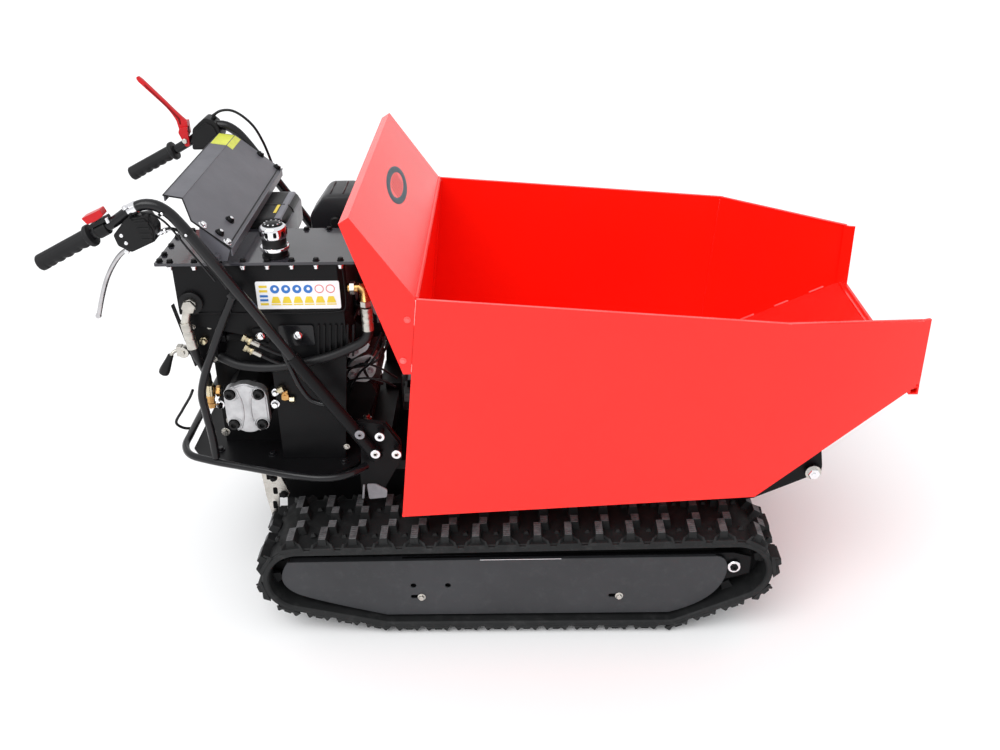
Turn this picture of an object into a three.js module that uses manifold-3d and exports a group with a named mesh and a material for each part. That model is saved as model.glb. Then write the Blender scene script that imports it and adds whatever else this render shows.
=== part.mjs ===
// Tracked power wheelbarrow with a tipping skip: an assembly of separate sub-parts.
// Millimetres. +X points forward, to the lip that the load leaves over, +Y to the machine's left, +Z up.
// The origin is on the ground, in the middle of the machine's outer box.
import * as THREE from "three";
import { mergeVertices } from "three/addons/utils/BufferGeometryUtils.js";
import Module from "manifold-3d";

const wasm = await Module();
wasm.setup();

// ---------------------------------------------------------------- driving dimensions

const GAP = 0.4; // left between pieces that touch

const TRACK_Y = 270; // middle of each track from the machine's middle plane
const BELT_WIDTH = 180;
const BELT_THICK = 14;
const LUG_HEIGHT = 18;
const LUG_PITCH = 60;
const GUIDE_HEIGHT = 16; // of the guide horns inside the belt
const GUIDE_Y = 46; // from the belt's middle to the middle of a row of horns
const LINK_PHASE = 0.15; // where the first lug lies, as a share of the pitch
const SQUASH = 0.3; // the lugs under the machine are pressed flat by its weight
const SPROCKET = { x: -387, z: 135, r: 63 };
const IDLER = { x: 472, z: 152, r: 60 };
const ROLLER_R = 35;
const ROLLER_Z = LUG_HEIGHT + BELT_THICK + ROLLER_R - SQUASH;
const ROLLER_X = [-215, -28, 158, 345];

const SHEET = 4; // skip sheet
const SKIP_HALF_WIDTH = 345;
const LIP_HALF_WIDTH = 253;
const SKIP_RIM = { rear: [-127, 738], fold: [519, 684], front: [790, 645] }; // x, z
const SKIP_BASE = { rear: [-177, 282], fold: [495, 322], front: [800, 508] };
const GUARD_TOP = [-232, 888];
const TIP_PIVOT = [625, 325];
const ARM_Y = 235; // middle of the chassis arms that carry the skip

const CYLINDER_FOOT = [-60, 135];
const CYLINDER_EYE = [520, 280];
const FILLER = [-396, -192];

const BAR_Y = 262; // handlebars from the middle plane
const BAR_R = 10;
const STRUT_R = 8;
const GRIP_R = 15.5;
const GRIP_END = [-796, 784];
const GRIP_COLLAR = [-697, 834];
const BAR_LINE = [
  [-797, 783],
  [-697, 834],
  [-655, 857],
  [-622, 878],
  [-600, 887],
  [-578, 885],
  [-558, 872],
  [-540, 850],
  [-520, 820],
  [-327, 516],
  [-270, 429],
  [-228, 364],
];

const DECK_Z = 334; // top of the sheet that the engine stands on
const LOOP_Z = 345;
const TANK = { x: [-583, -267], y: [-222, -56], z: [658, 757] };
const LID_Z = [757.4, 763];
const FEED_PORT = [-556, 684]; // on the tank's near face, where oil leaves for the pump
const PUMP = { x: -482, z: 457, w: 42, h: 54 };
const PUMP_FLANGE_R = 46;

// ---------------------------------------------------------------- materials

const coat = (color, roughness, metalness) => new THREE.MeshStandardMaterial({ color, roughness, metalness });
const RED_PAINT = coat(0xe8200f, 0.35, 0.1);
const GREY_PAINT = coat(0x48484c, 0.45, 0.3);
const BLACK_PAINT = coat(0x17171a, 0.45, 0.2);
const CONSOLE_PAINT = coat(0x66666c, 0.5, 0.3);
const RUBBER = coat(0x1a1a1b, 0.9, 0);
const GRIP_RUBBER = coat(0x202022, 0.8, 0);
const ZINC = coat(0xb8b6b0, 0.35, 0.9);
const CHROME = coat(0xd8d8da, 0.15, 1);
const CAST_ALUMINIUM = coat(0xb0b2b4, 0.5, 0.8);
const CAST_IRON = coat(0x2a2a2c, 0.7, 0.5);
const BLACK_PLASTIC = coat(0x141416, 0.5, 0);
const RED_PLASTIC = coat(0xd01818, 0.4, 0);

// ---------------------------------------------------------------- solids

const outline = (points) => new THREE.Shape(points.map(([a, b]) => new THREE.Vector2(a, b)));

function solid(geometry) {
  const bare = geometry.index ? geometry.toNonIndexed() : geometry.clone();
  bare.deleteAttribute("normal");
  bare.deleteAttribute("uv");
  const merged = mergeVertices(bare, 1e-3);
  const mesh = new wasm.Mesh({
    numProp: 3,
    vertProperties: new Float32Array(merged.attributes.position.array),
    triVerts: new Uint32Array(merged.index.array),
  });
  return new wasm.Manifold(mesh);
}

const join = (...solids) => solids.reduce((all, next) => all.add(next));
const cut = (body, ...tools) => tools.reduce((rest, tool) => rest.subtract(tool), body);

function extrude(shape, depth, curveSegments = 6) {
  return new THREE.ExtrudeGeometry(shape, { depth, bevelEnabled: false, curveSegments });
}

// A box from its low to its high corner.
function block([x0, x1], [y0, y1], [z0, z1]) {
  const box = new THREE.BoxGeometry(x1 - x0, y1 - y0, z1 - z0);
  return solid(box.translate((x0 + x1) / 2, (y0 + y1) / 2, (z0 + z1) / 2));
}

// A plate whose outline is given in x and z, between two values of y.
function sidePlate(points, y0, y1, curveSegments) {
  const shape = Array.isArray(points) ? outline(points) : points;
  const plate = extrude(shape, Math.abs(y1 - y0), curveSegments).rotateX(Math.PI / 2);
  return solid(plate.translate(0, Math.max(y0, y1), 0));
}

// A plate whose outline is given in x and y, between two heights.
function flatPlate(points, z0, z1) {
  return solid(extrude(outline(points), z1 - z0).translate(0, 0, z0));
}

// A flat sheet through points in space. It gets its thickness on the side from which they run clockwise.
function panel(points, thickness) {
  const corners = points.map((p) => new THREE.Vector3(...p));
  const along = corners[1].clone().sub(corners[0]).normalize();
  const normal = along.clone().cross(corners[2].clone().sub(corners[0])).normalize();
  const across = normal.clone().cross(along);
  const flat = corners.map((c) => {
    const from = c.clone().sub(corners[0]);
    return [from.dot(along), from.dot(across)];
  });
  const frame = new THREE.Matrix4().makeBasis(along, across, normal).setPosition(corners[0]);
  return solid(extrude(outline(flat), thickness).translate(0, 0, -thickness).applyMatrix4(frame));
}

// A round bar between two points in space.
function rod(from, to, radius, sides = 12) {
  const start = new THREE.Vector3(...from);
  const end = new THREE.Vector3(...to);
  const bar = new THREE.CylinderGeometry(radius, radius, start.distanceTo(end), sides);
  const turn = new THREE.Quaternion().setFromUnitVectors(
    new THREE.Vector3(0, 1, 0),
    end.clone().sub(start).normalize(),
  );
  const middle = start.clone().add(end).multiplyScalar(0.5);
  return solid(bar.applyQuaternion(turn).translate(middle.x, middle.y, middle.z));
}

// A body turned about the y direction: profile points are radius and y.
function turned(profile, [x, z], y, sides = 16) {
  const points = profile.map(([r, h]) => new THREE.Vector2(r, h));
  return solid(new THREE.LatheGeometry(points, sides).translate(x, y, z));
}

// A body turned about a vertical axis: profile points are radius and height.
function turnedUpright(profile, [x, y], z, sides = 20) {
  const points = profile.map(([r, h]) => new THREE.Vector2(r, h));
  return solid(new THREE.LatheGeometry(points, sides).rotateX(Math.PI / 2).translate(x, y, z));
}

// A tube of one radius along a smooth curve through points in space.
function tube(points, radius, steps, sides = 10) {
  const path = new THREE.CatmullRomCurve3(points.map((p) => new THREE.Vector3(...p)), false, "centripetal");
  const section = new THREE.Shape();
  for (let i = 0; i < sides; i++) {
    const angle = (i / sides) * 2 * Math.PI;
    const [a, b] = [radius * Math.cos(angle), radius * Math.sin(angle)];
    if (i === 0) section.moveTo(a, b);
    else section.lineTo(a, b);
  }
  return solid(new THREE.ExtrudeGeometry(section, { steps, extrudePath: path, bevelEnabled: false }));
}

const mirrored = (points) => points.map(([x, y, z]) => [x, -y, z]);
const bothSides = (points) => [...points, ...mirrored(points).reverse()];

function geometryOf(body) {
  const mesh = body.getMesh();
  const geometry = new THREE.BufferGeometry();
  geometry.setAttribute("position", new THREE.BufferAttribute(new Float32Array(mesh.vertProperties), 3));
  geometry.setIndex(new THREE.BufferAttribute(new Uint32Array(mesh.triVerts), 1));
  geometry.computeVertexNormals();
  return geometry;
}

const machine = new THREE.Group();
machine.name = "power_wheelbarrow";

function add(name, body, material) {
  const mesh = new THREE.Mesh(geometryOf(body), material);
  mesh.name = name;
  machine.add(mesh);
}

// ---------------------------------------------------------------- tracks

// The arcs on which a belt lies around its wheels, with the straight run after each.
function beltArcs() {
  const wheels = [
    SPROCKET,
    { x: ROLLER_X[0], z: ROLLER_Z, r: ROLLER_R },
    { x: ROLLER_X.at(-1), z: ROLLER_Z, r: ROLLER_R },
    IDLER,
  ];
  const runs = wheels.map((wheel, i) => {
    const next = wheels[(i + 1) % wheels.length];
    const [dx, dz] = [next.x - wheel.x, next.z - wheel.z];
    const apart = Math.hypot(dx, dz);
    const fall = wheel.r - next.r;
    return {
      leave: Math.atan2(dz, dx) - Math.acos(fall / apart),
      straight: Math.sqrt(apart * apart - fall * fall),
    };
  });
  return wheels.map((wheel, i) => {
    const arrive = runs.at(i - 1).leave;
    const sweep = (runs[i].leave - arrive + 4 * Math.PI) % (2 * Math.PI);
    return { ...wheel, arrive, sweep, straight: runs[i].straight };
  });
}

const ARCS = beltArcs();

function beltOutline(offset) {
  const step = Math.PI / 9;
  return ARCS.flatMap(({ x, z, r, arrive, sweep }) => {
    const count = Math.max(1, Math.ceil(sweep / step));
    return Array.from({ length: count + 1 }, (_, i) => {
      const angle = arrive + (sweep * i) / count;
      return [x + (r + offset) * Math.cos(angle), z + (r + offset) * Math.sin(angle)];
    });
  });
}

// The places on the belt's middle line that are one pitch apart: x, z and the outward direction.
function linkPlaces() {
  const middle = BELT_THICK / 2;
  const length = ARCS.reduce((sum, arc) => sum + arc.sweep * (arc.r + middle) + arc.straight, 0);
  const count = Math.round(length / LUG_PITCH);
  return Array.from({ length: count }, (_, i) => {
    let rest = ((i + LINK_PHASE) * length) / count;
    for (const arc of ARCS) {
      const bend = arc.sweep * (arc.r + middle);
      const turn = Math.min(rest, bend) / (arc.r + middle);
      const angle = arc.arrive + turn;
      const run = rest - bend;
      if (run <= arc.straight) {
        const ahead = Math.max(0, run);
        const x = arc.x + (arc.r + middle) * Math.cos(angle) - ahead * Math.sin(angle);
        const z = arc.z + (arc.r + middle) * Math.sin(angle) + ahead * Math.cos(angle);
        return { x, z, angle };
      }
      rest = run - arc.straight;
    }
  });
}

const LINKS = linkPlaces();

// A block on the belt: outline in the direction of travel and across, standing outward between two levels.
function beltBlock(points, low, high, { x, z, angle }, y) {
  const shape = extrude(outline(points), high - low).translate(0, 0, low);
  return solid(shape.rotateY(Math.PI / 2 - angle).translate(x, y, z));
}

// A lug's outline, along the belt and across it: a leg at each edge and a block between them that sits forward.
const LUG_OUTLINE = [
  [-12, 78],
  [9, 78],
  [24, 34],
  [24, -34],
  [9, -78],
  [-12, -78],
  [3, -30],
  [3, 30],
];

const HORN_OUTLINE = [
  [-13, -6],
  [13, -6],
  [13, 6],
  [-13, 6],
];

function trackBelt(side) {
  const y = side * TRACK_Y;
  const half = BELT_WIDTH / 2;
  const outer = sidePlate(beltOutline(BELT_THICK), y - half, y + half);
  const inner = sidePlate(beltOutline(0), y - half - 1, y + half + 1);
  const skin = BELT_THICK / 2;
  const lugs = LINKS.map((link) => beltBlock(LUG_OUTLINE, skin - 3, skin + LUG_HEIGHT, link, y));
  const horns = LINKS.filter((_, i) => i % 2 === 0).flatMap((link) =>
    [-GUIDE_Y, GUIDE_Y].map((across) =>
      beltBlock(HORN_OUTLINE, -skin - GUIDE_HEIGHT, 3 - skin, link, y + across),
    ),
  );
  const ground = block([-500, 500], [y - half, y + half], [-10, 0]);
  return cut(join(cut(outer, inner), ...lugs, ...horns), ground);
}

const WHEEL_HALF = 34; // half the width of the sprocket, the idler and the rollers, between the rows of horns

function driveSprocket(side) {
  const teeth = 8;
  const tip = SPROCKET.r - 1.5;
  const root = 44;
  const gear = Array.from({ length: teeth }, (_, i) => {
    const middle = (i / teeth) * 2 * Math.PI;
    return [
      [root, -0.28],
      [tip, -0.11],
      [tip, 0.11],
      [root, 0.28],
    ].map(([r, turn]) => [
      SPROCKET.x + r * Math.cos(middle + turn),
      SPROCKET.z + r * Math.sin(middle + turn),
    ]);
  }).flat();
  const y = side * TRACK_Y;
  const hub = rod([SPROCKET.x, y - 64, SPROCKET.z], [SPROCKET.x, y + 64, SPROCKET.z], 30, 16);
  return join(hub, sidePlate(gear, y - WHEEL_HALF, y + WHEEL_HALF));
}

// A plain drum that runs on an axle.
function trackWheel(side, x, z, radius, bore, sides) {
  return turned(
    [
      [bore, -WHEEL_HALF],
      [radius, -WHEEL_HALF],
      [radius, WHEEL_HALF],
      [bore, WHEEL_HALF],
      [bore, -WHEEL_HALF],
    ],
    [x, z],
    side * TRACK_Y,
    sides,
  );
}

const ROLLER_AXLE_R = 8;
const IDLER_AXLE_R = 11;
const FRAME_OUTER = 334 - TRACK_Y; // outer face of the track frame from the track's middle

function trackFrame(side) {
  const y = side * TRACK_Y;
  const cheek = [
    [-300, 150],
    [-270, 62],
    [-235, 46],
    [366, 46],
    [440, 112],
    [505, 132],
    [505, 172],
    [470, 182],
    [-280, 172],
  ];
  const inner = FRAME_OUTER - 6;
  const cheeks = [-1, 1].map((s) => sidePlate(cheek, y + s * inner, y + s * FRAME_OUTER));
  const beam = block([-270, 392], [y - inner - 1, y + inner + 1], [118, 150]);
  const axles = ROLLER_X.map((x) =>
    rod([x, y - inner - 1, ROLLER_Z], [x, y + inner + 1, ROLLER_Z], ROLLER_AXLE_R),
  );
  const front = rod(
    [IDLER.x, y - FRAME_OUTER - 6, IDLER.z],
    [IDLER.x, y + FRAME_OUTER + 6, IDLER.z],
    IDLER_AXLE_R,
  );
  return join(...cheeks, beam, ...axles, front);
}

function trackCover(side) {
  const shape = new THREE.Shape();
  shape.moveTo(-222, 38);
  shape.lineTo(348, 40);
  shape.quadraticCurveTo(448, 70, 458, 140);
  shape.quadraticCurveTo(461, 178, 436, 180);
  shape.lineTo(-412, 172);
  shape.quadraticCurveTo(-448, 120, -398, 92);
  shape.quadraticCurveTo(-360, 74, -222, 38);
  const y = side * 341;
  const cover = sidePlate(shape, y - side * 2, y + side * 2, 5);
  const bolts = [-150, 247].map((x) => rod([x, y, 84], [x, side * 352, 84], 7.5, 6));
  const spacers = [-150, 247].map((x) => rod([x, y, 84], [x, side * (TRACK_Y + FRAME_OUTER + GAP), 84], 9));
  return join(cover, ...bolts, ...spacers);
}

// ---------------------------------------------------------------- chassis

const RAIL_Y = [108, 142];

function chassisFrame() {
  const rail = [
    [-470, 190],
    [-470, 262],
    [-300, 262],
    [420, 246],
    [420, 280],
    [476, 280],
    [486, 190],
    [440, 118],
    [-140, 112],
    [-300, 190],
  ];
  const rails = [-1, 1].map((s) => sidePlate(rail, s * RAIL_Y[0], s * RAIL_Y[1]));
  const inFrame = TRACK_Y - FRAME_OUTER - GAP; // the inner face of the track frames
  const crossTubes = [-150, 255].map((x) => block([x - 25, x + 25], [-inFrame, inFrame], [118, 166]));
  const outriggers = [-1, 1].map((s) =>
    block([436, 474], s > 0 ? [RAIL_Y[0], ARM_Y + 10] : [-ARM_Y - 10, -RAIL_Y[0]], [246, 280]),
  );
  const arm = [
    [436, 246],
    [500, 246],
    [520, 249],
    [640, 306],
    [648, 325],
    [640, 341],
    [625, 347],
    [609, 341],
    [598, 323],
    [470, 280],
    [436, 280],
  ];
  const eyeHole = 10.8;
  const [tipX, tipZ] = TIP_PIVOT;
  const arms = [-1, 1].map((s) =>
    cut(
      sidePlate(arm, s * (ARM_Y - 8), s * (ARM_Y + 8)),
      rod([tipX, s * (ARM_Y - 20), tipZ], [tipX, s * (ARM_Y + 20), tipZ], eyeHole, 16),
    ),
  );
  const posts = [-1, 1].flatMap((s) =>
    [-450, -235].map((x) =>
      block([x - 18, x + 18], s > 0 ? [RAIL_Y[0], RAIL_Y[1]] : [-RAIL_Y[1], -RAIL_Y[0]], [240, DECK_Z - SHEET - GAP]),
    ),
  );
  const rearBeam = block([-268, -222], [-246, 246], [276, 318]);
  const mast = [
    [-268, 280],
    [-222, 280],
    [-183, 352],
    [-183, 392],
    [-210, 434],
    [-262, 440],
    [-284, 420],
    [-262, 380],
  ];
  const masts = [-1, 1].map((s) => sidePlate(mast, s * 238, s * 246));
  return join(...rails, ...crossTubes, ...outriggers, ...arms, ...posts, rearBeam, ...masts, cylinderFootLugs());
}

// Two lugs on the rear cross tube that hold the tipping cylinder's foot on a pin.
function cylinderFootLugs() {
  const [x, z] = CYLINDER_FOOT;
  const lug = [
    [-130, 125],
    [x - 4, z - 18],
    [x + 12, z - 12],
    [x + 16, z],
    [x + 12, z + 12],
    [x - 4, z + 18],
    [-130, 160],
  ];
  const lugs = [-1, 1].map((s) => sidePlate(lug, s * 19, s * 27));
  return join(...lugs, rod([x, -30, z], [x, 30, z], 8));
}

function gearbox() {
  const shape = new THREE.Shape();
  shape.moveTo(-440, 96);
  shape.lineTo(-330, 96);
  shape.quadraticCurveTo(-312, 100, -308, 120);
  shape.lineTo(-300, 250);
  shape.quadraticCurveTo(-302, 286, -330, 288);
  shape.lineTo(-420, 288);
  shape.quadraticCurveTo(-448, 284, -452, 250);
  shape.lineTo(-462, 130);
  shape.quadraticCurveTo(-460, 100, -440, 96);
  const housing = sidePlate(shape, -92, 92, 3);
  const reach = TRACK_Y - 64 - 1;
  const axle = rod([SPROCKET.x, -reach, SPROCKET.z], [SPROCKET.x, reach, SPROCKET.z], 25, 16);
  const flanges = [-1, 1].map((s) =>
    rod([SPROCKET.x, s * 90, SPROCKET.z], [SPROCKET.x, s * 102, SPROCKET.z], 44, 16),
  );
  return join(housing, axle, ...flanges);
}

// The tube that runs round the rear deck, with a small hook of bent rod behind it.
function guardLoop() {
  const half = [
    [-252, 259, LOOP_Z],
    [-272, 282, LOOP_Z],
    [-298, 298, LOOP_Z],
    [-332, 303, LOOP_Z],
    [-380, 295, LOOP_Z],
    [-480, 264, LOOP_Z],
    [-570, 235, LOOP_Z],
    [-612, 214, LOOP_Z],
    [-631, 180, LOOP_Z],
    [-633, 130, LOOP_Z],
    [-633, 50, LOOP_Z],
  ];
  const loop = tube(bothSides(half), 7.5, 38, 8);
  const hook = tube(
    [
      [-633, -110, LOOP_Z],
      [-650, -120, 352],
      [-661, -128, 368],
      [-640, -140, 405],
      [-612, -160, 448],
      [-600, -172, 470],
    ],
    3,
    9,
    6,
  );
  return join(loop, hook);
}

function deckTray() {
  const half = [
    [-271, 228],
    [-330, 284],
    [-480, 248],
    [-590, 212],
    [-618, 170],
  ];
  const points = [...half, ...half.map(([x, y]) => [x, -y]).reverse()];
  return flatPlate(points, DECK_Z - SHEET, DECK_Z);
}

// ---------------------------------------------------------------- engine

function engineBlock() {
  const foot = block([-500, -262], [-104, 128], [DECK_Z + GAP, 352]);
  const crankcase = new THREE.Shape();
  crankcase.moveTo(-490, 350);
  crankcase.lineTo(-272, 350);
  crankcase.lineTo(-250, 400);
  crankcase.lineTo(-250, 540);
  crankcase.quadraticCurveTo(-262, 590, -330, 600);
  crankcase.lineTo(-440, 600);
  crankcase.quadraticCurveTo(-498, 596, -502, 530);
  crankcase.lineTo(-502, 380);
  crankcase.quadraticCurveTo(-500, 352, -490, 350);
  const body = sidePlate(crankcase, -90, 104, 4);
  const cylinder = block([-340, -214], [-40, 66], [520, 680]);
  const fins = Array.from({ length: 6 }, (_, i) => {
    const x = -318 + i * 20;
    return block([x, x + 6], [-50, 84], [500, 688]);
  });
  const pumpFlange = rod([PUMP.x, -90, PUMP.z], [PUMP.x, -146, PUMP.z], PUMP_FLANGE_R, 20);
  return join(foot, body, cylinder, ...fins, pumpFlange);
}

function engineShroud() {
  const profile = [
    [0, 0],
    [118, 0],
    [118, 34],
    [104, 56],
    [60, 66],
    [0, 66],
  ];
  return turned(profile, [-386, 474], 104 + GAP, 28);
}

function starterGrip() {
  return block([-500, -464], [178, 196], [548, 562]).add(block([-492, -472], [171, 180], [550, 560]));
}

function fuelTank() {
  const shape = new THREE.Shape();
  shape.moveTo(-548, 704);
  shape.lineTo(-419, 704);
  shape.quadraticCurveTo(-409, 706, -408, 716);
  shape.lineTo(-408, 762);
  shape.quadraticCurveTo(-410, 776, -425, 777);
  shape.lineTo(-530, 777);
  shape.quadraticCurveTo(-558, 774, -560, 756);
  shape.lineTo(-560, 720);
  shape.quadraticCurveTo(-558, 706, -548, 704);
  const tank = sidePlate(shape, -40, 145, 4);
  const feet = [-20, 70].map((y) => block([-500, -420], [y, y + 24], [600 + GAP, 710]));
  return join(tank, ...feet);
}

function fuelCap() {
  return turnedUpright(
    [
      [0, 0],
      [27, 0],
      [27, 14],
      [22, 18],
      [0, 18],
    ],
    [-504, 105],
    777 + GAP,
  );
}

function airFilter() {
  const shape = new THREE.Shape();
  shape.moveTo(-370, 694);
  shape.lineTo(-262, 694);
  shape.lineTo(-262, 782);
  shape.quadraticCurveTo(-266, 803, -290, 805);
  shape.lineTo(-328, 805);
  shape.quadraticCurveTo(-338, 803, -344, 795);
  shape.lineTo(-370, 760);
  const cover = sidePlate(shape, 20, 130, 4);
  return join(cover, block([-330, -290], [30, 60], [688 + GAP, 700]));
}

function muffler() {
  const shape = new THREE.Shape();
  shape.moveTo(-236, 584);
  shape.lineTo(-226, 664);
  shape.quadraticCurveTo(-240, 672, -320, 668);
  shape.quadraticCurveTo(-330, 660, -330, 650);
  shape.lineTo(-330, 596);
  shape.quadraticCurveTo(-328, 586, -236, 584);
  const can = sidePlate(shape, 108, 196, 4);
  const pipe = rod([-280, 104, 640], [-280, 84 + GAP, 640], 14);
  return join(can, pipe, rod([-280, 100, 640], [-280, 110, 640], 14));
}

// ---------------------------------------------------------------- hydraulics

function tankSupport() {
  const web = [
    [-425, DECK_Z + GAP],
    [-300, DECK_Z + GAP],
    [-276, 600],
    [-276, 652],
    [-575, 652],
    [-575, 636],
    [-425, 600],
  ];
  const sheet = sidePlate(web, -214, -208);
  const shelf = block([-575, -276], [-214, -100], [648, 657.4]);
  const foot = block([-425, -300], [-208.5, -170], [DECK_Z + GAP, DECK_Z + 6]);
  const brace = block([-300, -276], [-210, -100], [560, 650]);
  const wall = block([-556, -426], [-145.8, -142], [DECK_Z + GAP, 650]);
  const flangeHole = rod([PUMP.x, -150, PUMP.z], [PUMP.x, -138, PUMP.z], PUMP_FLANGE_R + 1, 24);
  return join(sheet, shelf, foot, brace, cut(wall, flangeHole));
}

function hydraulicTank() {
  const [x0, x1] = TANK.x;
  const [y0, y1] = TANK.y;
  const corner = 14;
  const points = [
    [x0, y0],
    [x1 - corner, y0],
    [x1, y0 + corner],
    [x1, y1 - corner],
    [x1 - corner, y1],
    [x0, y1],
  ];
  const body = flatPlate(points, TANK.z[0], TANK.z[1]);
  const port = rod([FEED_PORT[0], y0 + 2, FEED_PORT[1]], [FEED_PORT[0], y0 - 9, FEED_PORT[1]], 18, 16);
  return join(body, port);
}

const NECK_HEIGHT = 13;
const LID_BOLT_PITCH = 44.6;

function tankLid() {
  const [x0, x1] = [TANK.x[0] - 30, TANK.x[1] + 22];
  const [y0, y1] = [TANK.y[0] - 6, TANK.y[1] + 6];
  const plate = block([x0, x1], [y0, y1], LID_Z);
  const rowX = Array.from({ length: 8 }, (_, i) => x0 + 28 + i * LID_BOLT_PITCH);
  const bolts = rowX.flatMap((x) => [y0 + 10, y1 - 10].map((y) => [x, y]));
  const heads = bolts.map(([x, y]) => rod([x, y, LID_Z[1] - 1], [x, y, LID_Z[1] + 4], 5, 6));
  const neck = rod([...FILLER, LID_Z[1] - 1], [...FILLER, LID_Z[1] + NECK_HEIGHT], 23, 16);
  return join(plate, ...heads, neck);
}

function fillerCap() {
  return turnedUpright(
    [
      [0, 0],
      [27, 0],
      [27, 8],
      [20, 11],
      [18, 29],
      [24, 33],
      [25, 41],
      [18, 48],
      [0, 51],
    ],
    FILLER,
    LID_Z[1] + NECK_HEIGHT + GAP,
    16,
  );
}

function pumpOutline(w, h) {
  const c = 20;
  return [
    [PUMP.x - w, PUMP.z - h + c],
    [PUMP.x - w + c, PUMP.z - h],
    [PUMP.x + w - c, PUMP.z - h],
    [PUMP.x + w, PUMP.z - h + c],
    [PUMP.x + w, PUMP.z + h - c],
    [PUMP.x + w - c, PUMP.z + h],
    [PUMP.x - w + c, PUMP.z + h],
    [PUMP.x - w, PUMP.z + h - c],
  ];
}

function pumpBody() {
  const body = sidePlate(pumpOutline(PUMP.w - 2, PUMP.h - 2), -206, -146 - GAP);
  const inlet = rod([PUMP.x - 38, -176, 470], [PUMP.x - 54, -176, 470], 12);
  const outlet = rod([PUMP.x + 38, -176, 470], [PUMP.x + 52, -176, 470], 12);
  return join(body, inlet, outlet);
}

function pumpCover() {
  const cover = sidePlate(pumpOutline(PUMP.w, PUMP.h), -226, -206 - GAP);
  const bolts = [-1, 1].flatMap((s) =>
    [-1, 1].map((t) =>
      rod([PUMP.x + s * 28, -225, PUMP.z + t * 34], [PUMP.x + s * 28, -236, PUMP.z + t * 34], 8, 8),
    ),
  );
  return join(cover, ...bolts);
}

function valveBlock() {
  const body = block([-576, -526], [-206, -150], [548, 634]);
  const spool = rod([-574, -178, 560], [-590, -178, 560], 8);
  const strap = block([-560, -536], [-200, -160], [630, 648 - GAP]);
  const port = rod([-528, -178, 590], [-514, -178, 590], 11);
  return join(body, spool, strap, port);
}

const LEVER_PIVOT = [-602, 560];
const LEVER_EYE_R = 11.6; // rounded about the pivot, to turn in front of the spool's end

function valveLever() {
  const [x, z] = LEVER_PIVOT;
  const eye = rod([x, -186, z], [x, -170, z], LEVER_EYE_R, 20);
  const fork = join(eye, block([x - 12, x], [-186, -170], [z - 8, z + 13]));
  const stem = tube(
    [
      [-610, -178, 563],
      [-616, -181, 563],
      [-622, -184, 560],
      [-628, -186, 552],
    ],
    3.5,
    6,
    6,
  );
  const knob = turnedAlong(
    [
      [0, 0],
      [6, 1],
      [8, 14],
      [10.5, 34],
      [9, 46],
      [0, 48],
    ],
    [-626, -186, 556],
    [-0.46, 0, -0.89],
    10,
  );
  return join(fork, stem, knob);
}

// Hoses, each in one piece with the fittings at its ends.
function feedHose() {
  const [x, z] = FEED_PORT;
  const fitting = rod([x, -232, z], [x, -250, z], 13, 6);
  const ferrule = rod([-568, -241, 652], [-562, -240, 598], 10.5);
  const bend = rod([-558, -241, 684], [-568, -241, 650], 8);
  const hose = tube(
    [
      [-563, -240, 604],
      [-560, -234, 578],
      [-557, -218, 548],
      [-560, -192, 515],
      [-563, -180, 490],
      [-557, -176, 474],
      [-539, -176, 470],
    ],
    8,
    14,
    8,
  );
  return join(fitting, bend, ferrule, hose);
}

function returnHose() {
  const stub = rod([TANK.x[1] + GAP, -205, 702], [-240, -205, 702], 9);
  const elbow = rod([-242, -204, 704], [-231, -233, 672], 11);
  const ferrule = rod([-231, -232, 674], [-231, -232, 630], 11);
  const hose = tube(
    [
      [-231, -232, 636],
      [-232, -232, 618],
      [-244, -231, 602],
      [-271, -230, 587],
      [-312, -229, 570],
      [-352, -228, 559],
      [-392, -227, 551],
      [-441, -226, 548],
      [-486, -223, 553],
      [-510, -218, 562],
      [-522, -214, 566],
    ],
    9,
    20,
    8,
  );
  return join(stub, elbow, ferrule, hose);
}

function pressureHose() {
  const elbow = rod([-428, -176, 470], [-408, -176, 470], 9, 6);
  const hose = tube(
    [
      [-412, -176, 470],
      [-394, -176, 478],
      [-390, -175, 500],
      [-400, -174, 540],
      [-436, -174, 572],
      [-476, -176, 588],
      [-513, -178, 590],
    ],
    7,
    18,
    8,
  );
  return join(elbow, hose);
}

// ---------------------------------------------------------------- handlebars and controls

const barPoints = (side) => BAR_LINE.map(([x, z]) => [x, side * BAR_Y, z]);
const barTube = (side, radius) => tube(barPoints(side), radius, 30, 8);

function handlebar(side) {
  const outer = BAR_LINE.slice(-4).map(([x, z]) => [x, side * BAR_Y, z]);
  const sleeve = tube([[-372, side * BAR_Y, 587], ...outer.slice(1)], BAR_R + 2.5, 5, 8);
  const tab = [
    [-276, 424],
    [-262, 440],
    [-212, 434],
    [-184, 388],
    [-184, 360],
    [-222, 352],
    [-240, 366],
  ];
  const plate = sidePlate(tab, side * (246 + GAP), side * 252);
  const bolts = [
    [-257, 425],
    [-219, 420],
    [-230, 381],
    [-189, 380],
  ].map(([x, z]) => rod([x, side * 250, z], [x, side * 277, z], 6.5, 6));
  return join(barTube(side, BAR_R), sleeve, plate, ...bolts);
}

// A body turned about a line that starts at a point and runs in a direction: profile points are radius and length.
function turnedAlong(profile, start, direction, sides = 14) {
  const points = profile.map(([r, h]) => new THREE.Vector2(r, h));
  const turn = new THREE.Quaternion().setFromUnitVectors(
    new THREE.Vector3(0, 1, 0),
    new THREE.Vector3(...direction).normalize(),
  );
  return solid(new THREE.LatheGeometry(points, sides).applyQuaternion(turn).translate(...start));
}

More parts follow.
